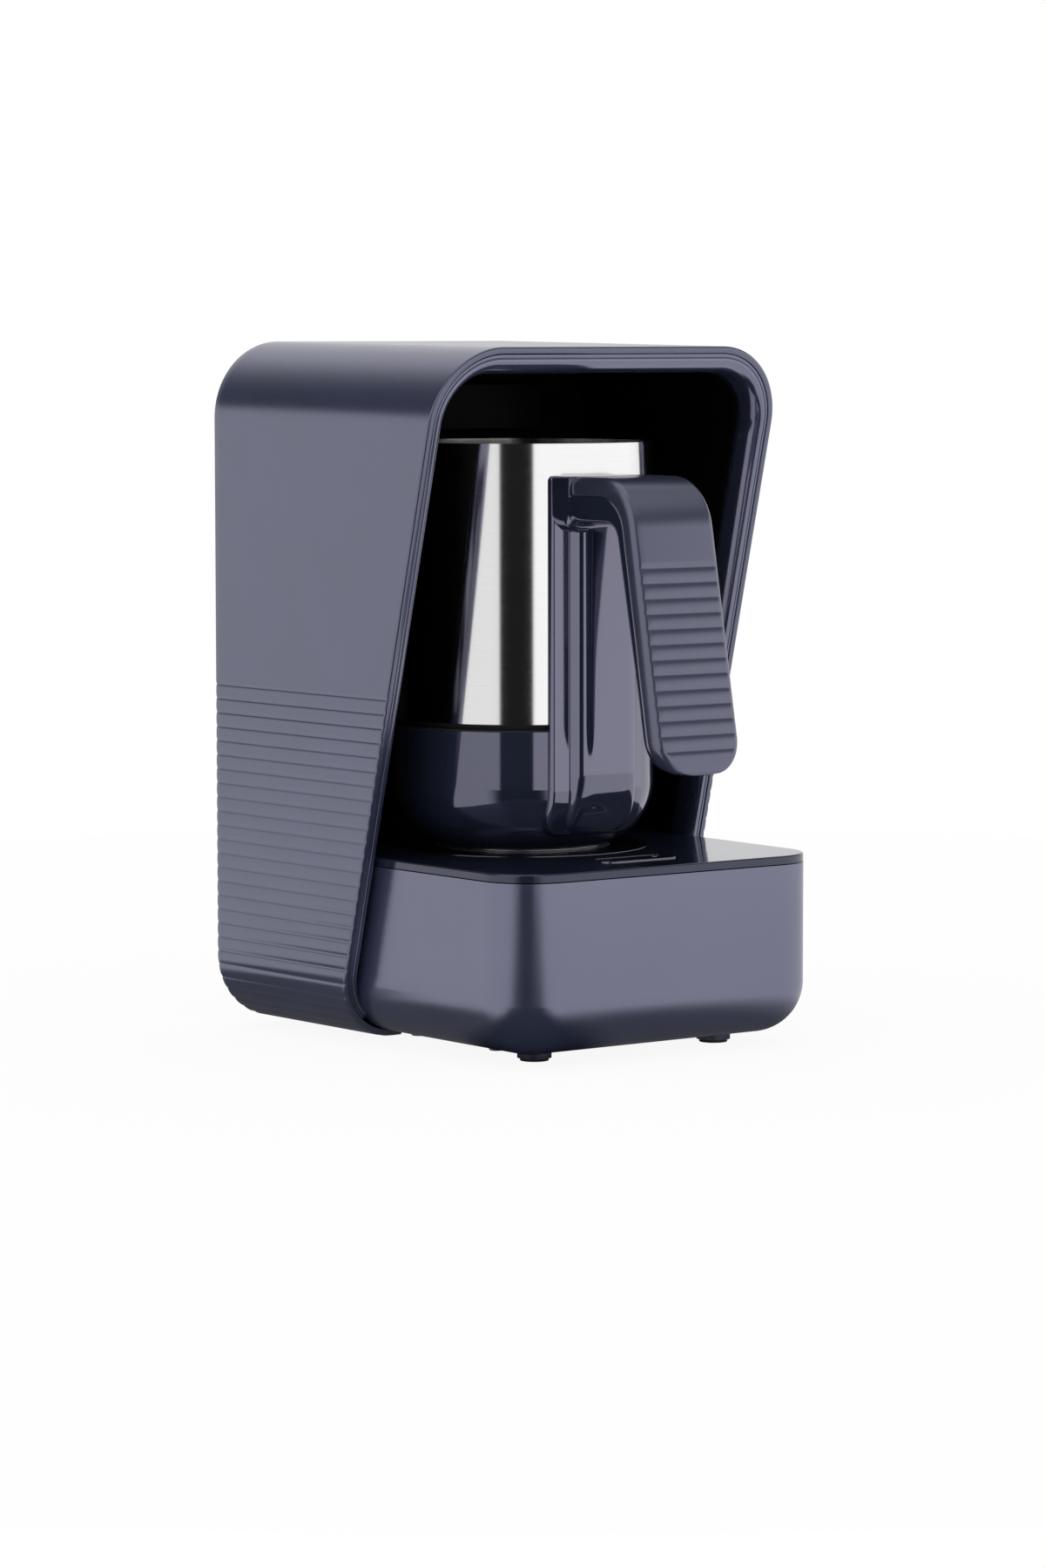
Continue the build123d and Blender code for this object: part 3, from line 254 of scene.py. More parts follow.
# Bright chrome painted darker as painted shade: it dims the glints of the pot's seat ring and the button's rim.
RING = metal("chrome_painted_shade", (0.22, 0.22, 0.25), 0.18, 300.0)
ALUMINIUM = metal("turned_aluminium", (0.72, 0.72, 0.73), 0.32, 500.0)
ZINC = metal("zinc", (0.55, 0.56, 0.56), 0.35, 700.0)

BY_SLOT = {
    "body_plastic": SATIN,
    "plate_plastic": PLATE,
    "black_plastic": BLACK,
    "soft_grip": SOFT,
    "handle_plastic": HANDLE,
    "jacket_plastic": GLOSS,
    "steel": STEEL,
    "bright_trim": TRIM,
    "button_face": BUTTON,
    "window": WINDOW,
    "rubber": RUBBER,
    "inner_plastic": INNER,
    "board": BOARD,
    "aluminium": ALUMINIUM,
    "zinc": ZINC,
    "wire": WIRE,
}
# Nodes whose look differs from the rest of their slot.
BY_NODE = {
    "cavity_liner": LINER,
    "sensor_head": HEAD,
    "base_housing": BASE,
    "seat_ring": RING,
    "button_bezel": RING,
}
for part in frame["record"]["subparts"]:
    mesh = nodes[part["node"]].data
    mesh.materials.clear()
    mesh.materials.append(BY_SLOT[part["material_slot"]])
for name, material in BY_NODE.items():
    nodes[name].data.materials[0] = material


# ---------------------------------------------------------------- pieces in mesh code
def skin(name, rings, body, material, replaced):
    """Smooth closed piece through rings of points, capped at both ends."""
    form = bmesh.new()
    rows = [[form.verts.new(at(*point)) for point in ring] for ring in rings]
    count = len(rows[0])
    for low, high in zip(rows, rows[1:]):
        for i in range(count):
            j = (i + 1) % count
            form.faces.new((low[i], low[j], high[j], high[i]))
    form.faces.new(rows[0][::-1])
    form.faces.new(rows[-1])
    bmesh.ops.recalc_face_normals(form, faces=form.faces)
    mesh = bpy.data.meshes.new(name)
    form.to_mesh(mesh)
    form.free()
    for polygon in mesh.polygons:
        polygon.use_smooth = len(polygon.vertices) == 4
    piece = bpy.data.objects.new(name, mesh)
    bpy.context.scene.collection.objects.link(piece)
    mesh.materials.append(material)
    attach(piece, body)
    if replaced:
        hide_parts(replaced)
    return piece


def ridge(down, pitch, square, fourth):
    """From 0 on a ridge's crest to 1 in the groove beside it, with the shares of a flat and a steep curve."""
    across = abs(2 * (down / pitch % 1) - 1)
    return square * across**2 + fourth * across**4


def with_mirror(left):
    """Rings from the left side to the middle, and on to the right side."""
    return left + [[(-x, y, z) for x, y, z in ring] for ring in reversed(left[:-1])]


# The hood. Its front edge leans back by CUT for each millimetre of height lost from the roof.
HOOD_FRONT_Y, HOOD_REAR_Y, HOOD_TOP, HOOD_FLOOR = -54.5, 79.5, 241.5, 2.0
HOOD_HALF, HOOD_WALL, ROOF_RADIUS, FLOOR_RADIUS = 74.1, 2.4, 27.0, 24.0
CORNER_Z = HOOD_FLOOR + FLOOR_RADIUS
SIDE_DRAFT = math.tan(math.radians(1.1))
ROOF_RISE = math.tan(math.radians(0.74))
CUT = math.tan(math.radians(14.5))
LIP_GAP, LIP_OUTER, LIP_INNER, REAR_ROUND = 47.2, 1.0, 0.35, 0.5
RIB_TOP, RIB_PITCH, RIB_COUNT, RIB_DEPTH, RIB_FADE = 122.3, 5.0, 26, 0.34, 0.9
RIB_CURVE = (0.45, 0.55)
CORNER_ROWS, RIB_ROWS, SIDE_ROWS, ROOF_CORNER_ROWS = 92, 236, 10, 28
ROUNDS = 4


def rib_inset(down):
    """How far a ribbed wall lies under its skin, `down` millimetres along it from the top groove."""
    last = RIB_COUNT * RIB_PITCH
    if down < -RIB_FADE or down > last + RIB_FADE:
        return 0.0
    if down < 0 or down > last:
        off = min(abs(down), abs(down - last)) / RIB_FADE
        return RIB_DEPTH * (1 - off) ** 2
    return RIB_DEPTH * ridge(down, RIB_PITCH, *RIB_CURVE)


def hood_stations():
    """Places along half of the hood's outline, from the lower lip to the middle of the roof: (kind, value)."""
    places = [("floor", share) for share in span(0, 1, 3)[:-1]]
    places += [("floor_arc", length) for length in span(FLOOR_RADIUS * math.pi / 2, 0, CORNER_ROWS)[:-1]]
    places += [("side", z) for z in span(CORNER_Z, RIB_TOP + 1.2, RIB_ROWS)]
    places += [("side", z) for z in span(RIB_TOP + 4, HOOD_TOP - ROOF_RADIUS - 4, SIDE_ROWS)]
    places += [("roof_arc", angle) for angle in arc(0, 90, ROOF_CORNER_ROWS)]
    return places + [("roof", share) for share in span(1, 0, 5)[1:]]


def hood_point(kind, value, y, inset):
    """x (left half) and z of a station at y, `inset` under the skin."""
    half = HOOD_HALF + (y - HOOD_FRONT_Y) * SIDE_DRAFT
    roof = HOOD_TOP + (y - HOOD_FRONT_Y) * ROOF_RISE
    if kind == "floor":
        return -(LIP_GAP + (half - FLOOR_RADIUS - LIP_GAP) * value), HOOD_FLOOR + inset
    if kind == "floor_arc":
        angle = value / FLOOR_RADIUS
        reach = FLOOR_RADIUS - inset
        return -(half - FLOOR_RADIUS + reach * math.cos(angle)), CORNER_Z - reach * math.sin(angle)
    if kind == "side":
        return -(half - inset), min(value, roof - ROOF_RADIUS)
    if kind == "roof_arc":
        reach = ROOF_RADIUS - inset
        return -(half - ROOF_RADIUS + reach * math.cos(value)), roof - ROOF_RADIUS + reach * math.sin(value)
    return -(half - ROOF_RADIUS) * value, roof - inset


def settled(place, where, along):
    """Point whose x and z, from place(y), hang on y, while y follows the leaning edge: a few rounds settle it.

    `along` is measured from the front edge, from the rear edge, or as a share of the way between them.
    """
    x, z, y = 0.0, 0.0, HOOD_FRONT_Y
    for _ in range(ROUNDS):
        x, z = place(y)
        front = HOOD_FRONT_Y + (HOOD_TOP - z) * CUT
        if where == "front":
            y = front + along
        elif where == "rear":
            y = HOOD_REAR_Y - along
        else:
            y = front + (HOOD_REAR_Y - front) * along
    return x, y, z


def hood_section():
    """Section of the hood's wall as (where, along, inset): rear edge, outer skin, rounded lip, inner skin."""
    section = [
        ("rear", REAR_ROUND - REAR_ROUND * math.cos(t), REAR_ROUND - REAR_ROUND * math.sin(t)) for t in arc(0, 90, 4)
    ]
    section += [("share", share, 0.0) for share in (0.97, 0.8, 0.5, 0.25, 0.1, 0.05)]
    section += [("front", along, 0.0) for along in (2.5, 1.2)]
    section += [
        ("front", LIP_OUTER - LIP_OUTER * math.sin(t), LIP_OUTER - LIP_OUTER * math.cos(t)) for t in arc(0, 90, 7)
    ]
    section += [
        ("front", LIP_INNER - LIP_INNER * math.cos(t), HOOD_WALL - LIP_INNER + LIP_INNER * math.sin(t))
        for t in arc(0, 90, 4)
    ]
    section += [("front", 1.0, HOOD_WALL)]
    section += [("share", share, HOOD_WALL) for share in (0.1, 0.6, 0.97)]
    return section + [("rear", 0.3, HOOD_WALL), ("rear", 0.0, HOOD_WALL - 0.3)]


def hood_ring(kind, value):
    """Closed ring round the wall at one station."""
    down = RIB_TOP - CORNER_Z + value if kind == "floor_arc" else RIB_TOP - value if kind == "side" else -9
    ribbed = rib_inset(down)
    ring = []
    for where, along, inset in hood_section():
        depth = inset + ribbed * max(0.0, 1 - inset / HOOD_WALL)
        ring.append(settled(lambda y: hood_point(kind, value, y, depth), where, along))
    return ring


def outer_shell():
    left = [hood_ring(kind, value) for kind, value in hood_stations()]
    skin("ribbed_hood", with_mirror(left), "housing", SATIN, "outer_shell")


# The frame round the hood's mouth: from the hood's wall to the mouth, at the sides and at the roof.
BEZEL_EDGE, BEZEL_SIDE, BEZEL_ROOF, BEZEL_BACK, BEZEL_FOOT = 2.5, 7.2, 9.2, 11.8, 52.0
RIM_SHARE, FLAT_SHARE, FLAT_DEPTH, ROLL_DEPTH = 0.2, 0.40, 0.10, 6.0


def bezel_section():
    """Section as (share of the way to the mouth, depth): rim, fine groove, flat band, roll, inner side."""
    points = [(0.0, BEZEL_BACK), (0.0, 4.0), (0.0, 1.1)]
    points += [(0.055 - 0.055 * math.cos(t), 0.75 - 0.45 * math.sin(t)) for t in arc(15, 90, 5)]
    points += [(RIM_SHARE - 0.03, 0.28), (RIM_SHARE - 0.01, 0.36), (RIM_SHARE, 0.62), (RIM_SHARE + 0.02, 0.62)]
    points += [(RIM_SHARE + 0.035, 0.36), (RIM_SHARE + 0.06, 0.22), (0.33, 0.12), (FLAT_SHARE, FLAT_DEPTH)]
    reach = 1 - FLAT_SHARE
    for t in arc(6, 90, 15):
        points.append((FLAT_SHARE + reach * math.sin(t), FLAT_DEPTH + ROLL_DEPTH * (1 - math.cos(t))))
    return points + [(1.0, 9.0), (1.0, BEZEL_BACK)]


def bezel_point(kind, value, y, share):
    """x (left half) and z at a station, `share` of the way from the hood's wall to the mouth."""
    side = BEZEL_EDGE + (BEZEL_SIDE - BEZEL_EDGE) * share
    high = BEZEL_EDGE + (BEZEL_ROOF - BEZEL_EDGE) * share
    if kind in ("floor_arc", "side"):
        return hood_point(kind, value, y, side)
    x, z = hood_point(kind, value, y, high)
    return x - (high - side) * (value if kind == "roof" else 1.0), z


def front_bezel():
    places = [("floor_arc", math.radians(angle) * FLOOR_RADIUS) for angle in span(BEZEL_FOOT, 0, 14)[:-1]]
    places += [("side", z) for z in span(CORNER_Z, HOOD_TOP - ROOF_RADIUS - 2, 40)]
    places += [("roof_arc", angle) for angle in arc(0, 90, ROOF_CORNER_ROWS)]
    places += [("roof", share) for share in span(1, 0, 8)[1:]]
    left = []
    for kind, value in places:
        ring = []
        for share, depth in bezel_section():
            ring.append(settled(lambda y: bezel_point(kind, value, y, share), "front", depth))
        left.append(ring)
    skin("rolled_bezel", with_mirror(left), "housing", TRIM_GLOSS, "front_bezel")


# The hook in the side view: the arm's top and underside, and the grip's outer and inner faces with their lean.
ARM_TOP, ARM_UNDER, GRIP_LOW, GRIP_HALF, GRIP_CORNER = 197.5, 182.3, 98.0, 17.4, 12.0
OUTER_Y, OUTER_LEAN, OUTER_BEND = -83.7, 10.95, 20.0
INNER_Y, INNER_LEAN, INNER_BEND = -75.6, 12.1, 7.0
ARM_STEPS, BEND_STEPS, COVER_STEPS, CORE_STEPS = 9, 22, 170, 80
# An edge is rounded by no more than these shares of the half-width and of the depth.
ROUND_OF_WIDTH, ROUND_OF_DEPTH = 0.9, 0.48
# The soft cover: its thickness, its rounding, and the grooves across the grip.
COVER, COVER_START, COVER_GAP, COVER_ROUND, COVER_INNER_ROUND = 6.3, -52.5, 0.12, 3.6, 0.4
END_ROUND, END_SHARE, ARM_PACE, LEG_PACE = 1.4, 0.6, 0.9, 0.47
GROOVE_TOP, GROOVE_PITCH, GROOVES, PILLOW, PILLOW_FADE = 167.5, 5.08, 13, 0.36, 2.2
PILLOW_CURVE = (0.6, 0.4)
# The core under it, with the arm's root at the column: wider there, and arched on its underside.
CORE_START, CORE_ROUND, CORE_TIP_PACE = -52.4, 0.5, 0.25
ROOT_ROUND, ROOT_EDGE_FROM = 1.2, 51.9
ROOT_WIDER, ROOT_FROM, ROOT_LENGTH = 2.3, -76.0, 34.0
ROOT_PLACES = (-40.5, -44.0, -47.0, -49.0, -50.5, -51.6, -52.0, -52.2, -52.3)
ARCH_FROM, ARCH_LENGTH, ARCH_DROP = 51.0, 5.0, 4.0
ARCH_ROUND, ARCH_ROUND_LESS = 6.0, 4.4


def hook_line(start_y, corner_y, corner_z, lean, bend, leg_count):
    """Points (y, z) along the arm, round the bend and down the grip."""
    lean_angle = math.radians(lean)
    turn = math.pi / 2 - lean_angle
    tangent = bend * math.tan(turn / 2)
    centre = (corner_y + tangent, corner_z - bend)
    points = [(y, corner_z) for y in span(start_y, corner_y + tangent, ARM_STEPS)]
    for i in range(1, BEND_STEPS):
        angle = turn * i / (BEND_STEPS - 1)
        points.append((centre[0] - bend * math.sin(angle), centre[1] + bend * math.cos(angle)))
    top_y, top_z = points[-1]
    for z in span(top_z, GRIP_LOW, leg_count)[1:]:
        points.append((top_y - (top_z - z) * math.tan(lean_angle), z))
    return points


def width_at(z):
    """Half-width of the hook: its lower corners are rounded in the front view."""
    rise = max(0.0, GRIP_LOW + GRIP_CORNER - z)
    return GRIP_HALF - GRIP_CORNER + math.sqrt(max(0.0, GRIP_CORNER**2 - rise**2))


def taper(y):
    """Half-width of the arm: a little wider where it leaves the column."""
    return GRIP_HALF + ROOT_WIDER * min(1.0, max(0.0, (y - ROOT_FROM) / ROOT_LENGTH))


def half_between(far, near):
    """Half-width of the hook between two points of its side view."""
    return width_at((far[1] + near[1]) / 2) - GRIP_HALF + taper((far[0] + near[0]) / 2)


def hook_ring(outer, inner, half, outer_round, inner_round, shrink=0.0, groove=0.0):
    """Rounded rectangle between an outer and an inner point of the side view, drawn in at its outer side."""
    depth = math.hypot(outer[0] - inner[0], outer[1] - inner[1])
    toward = ((outer[0] - inner[0]) / depth, (outer[1] - inner[1]) / depth)
    half -= shrink
    ring = []
    for sign, radius, steps in ((1, outer_round, 9), (-1, inner_round, 4)):
        radius = min(radius, half * ROUND_OF_WIDTH, depth * ROUND_OF_DEPTH)
        level = depth - shrink - radius if sign > 0 else shrink + radius
        for side in (-1, 1) if sign > 0 else (1, -1):
            for i in range(steps):
                share = i / (steps - 1)
                angle = math.pi / 2 * (share if side * sign < 0 else 1 - share)
                x = side * (half - radius + radius * math.cos(angle))
                rise = level + sign * radius * math.sin(angle)
                if sign > 0:
                    rise -= groove * math.sin(angle) ** 3
                ring.append((x, inner[0] + toward[0] * rise, inner[1] + toward[1] * rise))
    return ring


def cover_offset(inset):
    """Corner of the hook's outer line drawn in by `inset`."""
    lean = math.radians(OUTER_LEAN)
    return OUTER_Y + inset * (1 / math.cos(lean) - math.tan(lean)), ARM_TOP - inset


def pillow(z):
    """How far the grip's pillowed face lies under its skin."""
    down = GROOVE_TOP - z
    last = (GROOVES - 1) * GROOVE_PITCH
    if down < 0 or down > last:
        off = abs(down) if down < 0 else down - last
        return PILLOW * max(0.0, 1 - off / PILLOW_FADE) ** 2.5
    return PILLOW * ridge(down, GROOVE_PITCH, *PILLOW_CURVE)


def grip_cover():
    outer = hook_line(COVER_START, OUTER_Y, ARM_TOP, OUTER_LEAN, OUTER_BEND, COVER_STEPS)
    inner = hook_line(COVER_START, *cover_offset(COVER), OUTER_LEAN, OUTER_BEND - COVER, COVER_STEPS)
    rings = []
    last = len(outer) - 1
    for i, (far, near) in enumerate(zip(outer, inner)):
        groove = pillow(far[1]) if i > ARM_STEPS + BEND_STEPS - 1 else 0.0
        ends = min(i * ARM_PACE, (last - i) * LEG_PACE)
        shrink = 0.0 if ends >= END_ROUND else END_ROUND - math.sqrt(END_ROUND**2 - (END_ROUND - ends) ** 2)
        half = half_between(far, near)
        rings.append(hook_ring(far, near, half, COVER_ROUND, COVER_INNER_ROUND, shrink * END_SHARE, groove))
    skin("grip_cover", rings, "pot", SOFT, "handle_grip")


def arch(y):
    """Share of the way out of the arch under the arm's root, and how far the underside drops there."""
    share = min(1.0, max(0.0, (-y - ARCH_FROM) / ARCH_LENGTH))
    return share, ARCH_DROP * (1 - math.sqrt(1 - (1 - share) ** 2))


def handle_core():
    """Rings of the arm's root at the column, and of the core of the arm and grip under the soft cover."""
    corner = cover_offset(COVER + COVER_GAP)
    outer = hook_line(CORE_START, *corner, OUTER_LEAN, OUTER_BEND - COVER, CORE_STEPS)
    inner = hook_line(CORE_START, INNER_Y, ARM_UNDER, INNER_LEAN, INNER_BEND, CORE_STEPS)
    rings = []
    for y in ROOT_PLACES:
        edge = max(0.0, -y - ROOT_EDGE_FROM)
        share, drop = arch(y)
        low = ARM_UNDER - drop
        inner_round = ARCH_ROUND - ARCH_ROUND_LESS * share
        rings.append(hook_ring((y, ARM_TOP - edge), (y, low), taper(y), ROOT_ROUND, inner_round))
    last = len(outer) - 1
    for i, (far, near) in enumerate(zip(outer, inner)):
        shrink = max(0.0, 1.0 - CORE_TIP_PACE * (last - i))
        share = 1.0
        if near[1] > ARM_UNDER - 0.1:
            share, drop = arch(near[0])
            near = (near[0], near[1] - drop)
        inner_round = ARCH_ROUND - ARCH_ROUND_LESS * share
        rings.append(hook_ring(far, near, half_between(far, near), CORE_ROUND, inner_round, shrink))
    return rings


# The column: a flange that hugs the pot, with a rounded spine on it.
COLUMN_HALF, COLUMN_LOW, COLUMN_HIGH, COLUMN_CORNER, COLUMN_TOP_ROUND = 19.9, 73.0, 197.4, 7.0, 1.6
COLUMN_ROWS, COLUMN_ACROSS = 150, 91
FLANGE, FLANGE_EDGE, FLANGE_ROUND = 2.0, 0.15, 1.1
SPINE_HALF, SPINE_PROUD, SPINE_LOW, SPINE_HIGH, SPINE_CORNER, SPINE_ROUND = 13.6, 5.4, 73.6, 192.0, 8.0, 6.5
SPINE_TURN_Z, SPINE_TURN, SPINE_CROWN = 96.0, 34.0, 0.0022
POT_RADIUS, POT_CORNER, POT_BASE, POT_GAP = 46.1, 23.0, 66.8, 0.02


def quarter(distance, radius):
    """Height from 0 to 1 of a rounded edge, `distance` inside it."""
    share = min(1.0, max(0.0, distance / radius))
    return math.sqrt(1 - (1 - share) ** 2)


def inside(x, z, half, low, high, low_corner, high_corner):
    """Distance inside an upright rectangle with rounded corners."""
    corner = low_corner if z < (low + high) / 2 else high_corner
    dx = half - abs(x)
    dz = min(z - low, high - z)
    if dx < corner and dz < corner:
        return corner - math.hypot(corner - dx, corner - dz)
    return min(dx, dz)


def pot_skin(x, z, proud):
    """Point `proud` outside the pot, at x and z of its front."""
    corner_z = POT_BASE + POT_CORNER
    radius = POT_RADIUS + proud
    if z < corner_z:
        reach = POT_CORNER + proud
        radius = POT_RADIUS - POT_CORNER + math.sqrt(max(0.0, reach**2 - (corner_z - z) ** 2))
    return (x, -math.sqrt(max(0.0, radius**2 - x**2)), z)


def spine_front(z):
    """y of the spine's face, which turns in towards its foot."""
    below = max(0.0, SPINE_TURN_Z - z)
    return -(POT_RADIUS + SPINE_PROUD) + SPINE_TURN - math.sqrt(SPINE_TURN**2 - below**2)


def column():
    """Rings across the column, from its foot to its top: outer skin and then the pot's side."""
    rings = []
    zs = [COLUMN_LOW + d for d in (0.0, 0.15, 0.4, 0.8, 1.3, 1.9)]
    zs += span(COLUMN_LOW + 2.6, COLUMN_HIGH - 1.4, COLUMN_ROWS) + [COLUMN_HIGH - d for d in (0.8, 0.4, 0.15, 0.0)]
    for z in zs:
        rise = max(0.0, COLUMN_CORNER - (z - COLUMN_LOW))
        half = COLUMN_HALF - COLUMN_CORNER + math.sqrt(max(0.01, COLUMN_CORNER**2 - rise**2))
        top = max(0.0, COLUMN_TOP_ROUND - (COLUMN_HIGH - z))
        half -= COLUMN_TOP_ROUND - math.sqrt(max(0.0, COLUMN_TOP_ROUND**2 - top**2))
        ring = []
        for x in [half * math.sin(t) for t in arc(-90, 90, COLUMN_ACROSS)]:
            flange = inside(x, z, COLUMN_HALF, COLUMN_LOW, COLUMN_HIGH, COLUMN_CORNER, COLUMN_TOP_ROUND)
            spine = inside(x, z, SPINE_HALF, SPINE_LOW, SPINE_HIGH, SPINE_CORNER, SPINE_CORNER)
            low = pot_skin(x, z, FLANGE_EDGE + (FLANGE - FLANGE_EDGE) * quarter(flange, FLANGE_ROUND))
            face = spine_front(z) + SPINE_CROWN * x * x
            ring.append((x, low[1] + (face - low[1]) * quarter(spine, SPINE_ROUND), z))
        rings.append(ring + [pot_skin(x, z, POT_GAP) for x in span(half, -half, 15)])
    return rings


def handle_frame():
    """The core with its root, and the column, in one moulding."""
    shell = skin("handle_body", handle_core(), "pot", HANDLE, "handle_frame")
    other = skin("column", column(), "pot", HANDLE, None)
    form = bmesh.new()
    form.from_mesh(shell.data)
    form.from_mesh(other.data)
    bpy.data.objects.remove(other)
    form.to_mesh(shell.data)
    form.free()


SPRING_SLOT = next(part["material_slot"] for part in frame["record"]["subparts"] if part["node"] == "button_spring")
SPRING_WIRE, SPRING_TURNS, SPRING_STEPS = 0.5, 4, 40


def coil_spring():
    """The button's spring: a coil of wire that fills the box of the CAD spring."""
    low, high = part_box("button_spring")
    centre = ((low.x + high.x) / 2 / MM, ((low.y + high.y) / 2 - POT_Y) / MM)
    wire = SPRING_WIRE / 2
    radius = (high.x - low.x) / 2 / MM - wire
    first, last = low.z / MM + wire, high.z / MM - wire
    rings = []
    for i in range(SPRING_TURNS * SPRING_STEPS + 1):
        turn = math.tau * i / SPRING_STEPS
        z = first + (last - first) * i / (SPRING_TURNS * SPRING_STEPS)
        ring = []
        for t in arc(0, 315, 8):
            reach = radius + wire * math.cos(t)
            x, y = centre[0] + reach * math.cos(turn), centre[1] + reach * math.sin(turn)
            ring.append((x, y, z + wire * math.sin(t)))
        rings.append(ring)
    piece = skin("coil_spring", rings, "housing", BY_SLOT[SPRING_SLOT], "button_spring")
    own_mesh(piece)


# ---------------------------------------------------------------- floor, light, camera
# The studio's dark and bright parts, seen by glossy rays only. Turns are degrees from +Y towards +X, and rises are
# degrees above the horizon. Two numbers are a fade, and four are where something starts, is full, fades and ends.
# The dark side behind the camera:
DARK_TURN, DARK_RISE, DARK_LEVEL = (-154.0, -152.0, -125.0, -123.0), (18.0, 26.0), 0.01
# The softbox on the right is a little brighter than the one on the left.
BRIGHT_START, BRIGHT_END, BRIGHT_LEVEL = (75.0, 115.0), (-153.0, -145.0), 1.25
# Over the front the softboxes end and a darker ceiling starts. Higher up it is a little lighter again.
CEILING_START, CEILING_END = (45.0, 75.0), (-132.0, -116.0)
CEILING_RISE, CEILING_LEVEL = (12.5, 24.0), 0.12
CEILING_HIGH, CEILING_HIGH_SHARE, CEILING_TOP = (28.0, 50.0), 0.6, (70.0, 85.0)
# A darker band high over the rear left, seen in the roof's left corner, fades towards the rear.
BAND_TURN, BAND_RISE = (-70.0, -62.0, -34.0, 12.0), (6.0, 12.0, 50.0, 60.0)


def studio_world():
    """Plain white studio. Glossy rays also see its darker and brighter parts."""
    world = bpy.data.worlds.new("studio")
    bpy.context.scene.world = world
    tree = Tree(world)
    x, y, z = tree.split("Generated")
    turn = tree.degrees("ARCTAN2", x, y)
    rise = tree.degrees("ARCSINE", z)
    glossy = tree.ray("Is Glossy Ray")
    side = tree.product(tree.between(turn, *DARK_TURN), tree.fall(rise, *DARK_RISE))
    band = tree.product(tree.between(turn, *BAND_TURN), tree.between(rise, *BAND_RISE))
    ceiling = tree.product(
        tree.maths("MAXIMUM", tree.step(turn, *CEILING_START), tree.fall(turn, *CEILING_END)),
        tree.step(rise, *CEILING_RISE, 0.0, 1 - CEILING_LEVEL),
        tree.step(rise, *CEILING_HIGH, 1.0, CEILING_HIGH_SHARE),
        tree.fall(rise, *CEILING_TOP),
    )
    dark = tree.maths("MAXIMUM", tree.maths("MAXIMUM", side, band), ceiling)
    level = tree.maths("SUBTRACT", 1.0, tree.product(dark, glossy, 1 - DARK_LEVEL))
    bright = tree.maths("MAXIMUM", tree.step(turn, *BRIGHT_START), tree.fall(turn, *BRIGHT_END))
    gain = tree.maths("ADD", tree.product(bright, glossy, BRIGHT_LEVEL - 1), 1.0)
    white = tree.node("ShaderNodeBackground", Color=(1, 1, 1, 1))
    tree.link(tree.product(level, gain), white.inputs["Strength"])
    tree.link(white.outputs[0], tree.node("ShaderNodeOutputWorld").inputs[0])


# The floor as glossy rays see it: white, but dark on the studio's dark side and in the object's own shadow, between
# two distances in metres. On the rear left that shadow reaches further out.
FLOOR_DARK = (-171.0, -155.0, -126.0, -110.0)
FLOOR_SHADE, FLOOR_SHADE_LEVEL = (0.085, 0.135), 0.12
FLOOR_LEFT, FLOOR_LEFT_MORE = (-68.0, -54.0, -10.0, 20.0), 0.065
FLOOR_SIZE, FLOOR_SUNK, FLOOR_TONE, FLOOR_GLOW = 0.75, 0.0002, 0.9, 0.92


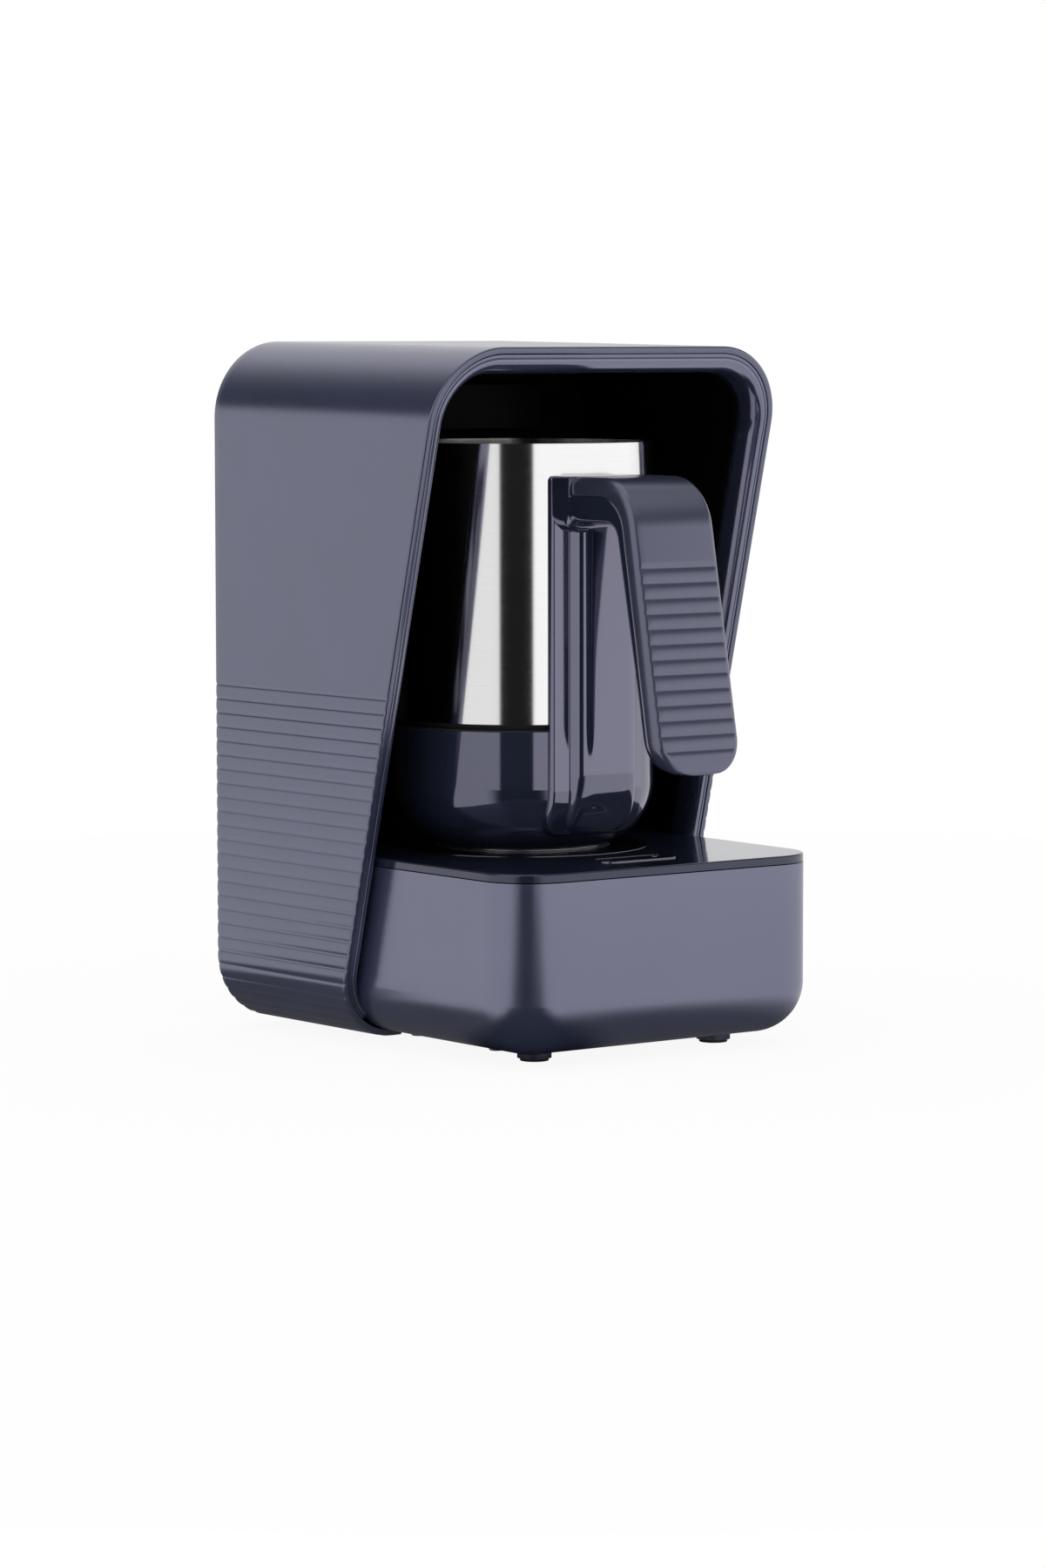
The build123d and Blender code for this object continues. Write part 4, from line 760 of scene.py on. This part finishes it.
def floor():
    """Round floor: white to the camera, with a faint shadow kept."""
    mesh = bpy.data.meshes.new("floor")
    form = bmesh.new()
    bmesh.ops.create_circle(form, cap_ends=True, radius=FLOOR_SIZE, segments=96)
    form.to_mesh(mesh)
    form.free()
    obj = bpy.data.objects.new("floor", mesh)
    bpy.context.scene.collection.objects.link(obj)
    obj.location = (0, 0, -FLOOR_SUNK)
    material = bpy.data.materials.new("floor")
    tree = Tree(material)
    x, y, _ = tree.split("Object")
    turn = tree.degrees("ARCTAN2", x, y)
    away = tree.maths("SQRT", tree.maths("ADD", tree.product(x, x), tree.product(y, y)))
    more = tree.product(tree.between(turn, *FLOOR_LEFT), FLOOR_LEFT_MORE)
    shade = tree.step(tree.maths("SUBTRACT", away, more), *FLOOR_SHADE, FLOOR_SHADE_LEVEL, 1.0)
    level = tree.product(tree.maths("SUBTRACT", 1.0, tree.between(turn, *FLOOR_DARK)), shade)
    white = tree.node("ShaderNodeEmission", Color=(1, 1, 1, 1), Strength=1.0)
    mirrored = tree.node("ShaderNodeEmission", Color=(1, 1, 1, 1))
    tree.link(level, mirrored.inputs["Strength"])
    shader = tree.node("ShaderNodeBsdfDiffuse", Color=(FLOOR_TONE, FLOOR_TONE, FLOOR_TONE, 1))
    for factor, other in (
        (tree.product(tree.ray("Is Camera Ray"), FLOOR_GLOW), white),
        (tree.ray("Is Glossy Ray"), mirrored),
    ):
        mixed = tree.node("ShaderNodeMixShader")
        for socket, source in zip(mixed.inputs, (factor, shader.outputs[0], other.outputs[0])):
            tree.link(source, socket)
        shader = mixed
    tree.link(shader.outputs[0], tree.node("ShaderNodeOutputMaterial").inputs[0])
    mesh.materials.append(material)


# Fitted to the edges of the photographed machine: a long lens, 36.5 degrees round to the left. Angles in degrees.
PHOTO_WIDTH, FOCAL_PIXELS, SENSOR = 1200.0, 5871.856, 36.0
CAMERA_PLACE = (-1067.744, -1441.896, 246.863)
CAMERA_YAW, CAMERA_PITCH, CAMERA_ROLL = 36.5218, 5.0622, 0.0614


def camera():
    data = bpy.data.cameras.new("camera")
    data.sensor_fit = "HORIZONTAL"
    data.sensor_width = SENSOR
    data.lens = SENSOR * FOCAL_PIXELS / PHOTO_WIDTH
    data.clip_start = 0.05
    data.clip_end = 60.0
    obj = bpy.data.objects.new("camera", data)
    bpy.context.scene.collection.objects.link(obj)
    obj.location = at(*CAMERA_PLACE)
    yaw, pitch, roll = (math.radians(angle) for angle in (CAMERA_YAW, CAMERA_PITCH, CAMERA_ROLL))
    obj.rotation_mode = "QUATERNION"
    ahead = Vector((math.sin(yaw) * math.cos(pitch), math.cos(yaw) * math.cos(pitch), -math.sin(pitch)))
    obj.rotation_quaternion = ahead.to_track_quat("-Z", "Y") @ Quaternion((0, 0, 1), -roll)
    bpy.context.scene.camera = obj


outer_shell()
front_bezel()
grip_cover()
handle_frame()
coil_spring()
studio_world()
floor()
camera()
bpy.context.scene.view_settings.view_transform = "Standard"

for name in ("top_plate", "base_housing", "sensor_head", "pot_jacket"):
    for polygon in nodes[name].data.polygons:
        polygon.use_smooth = True
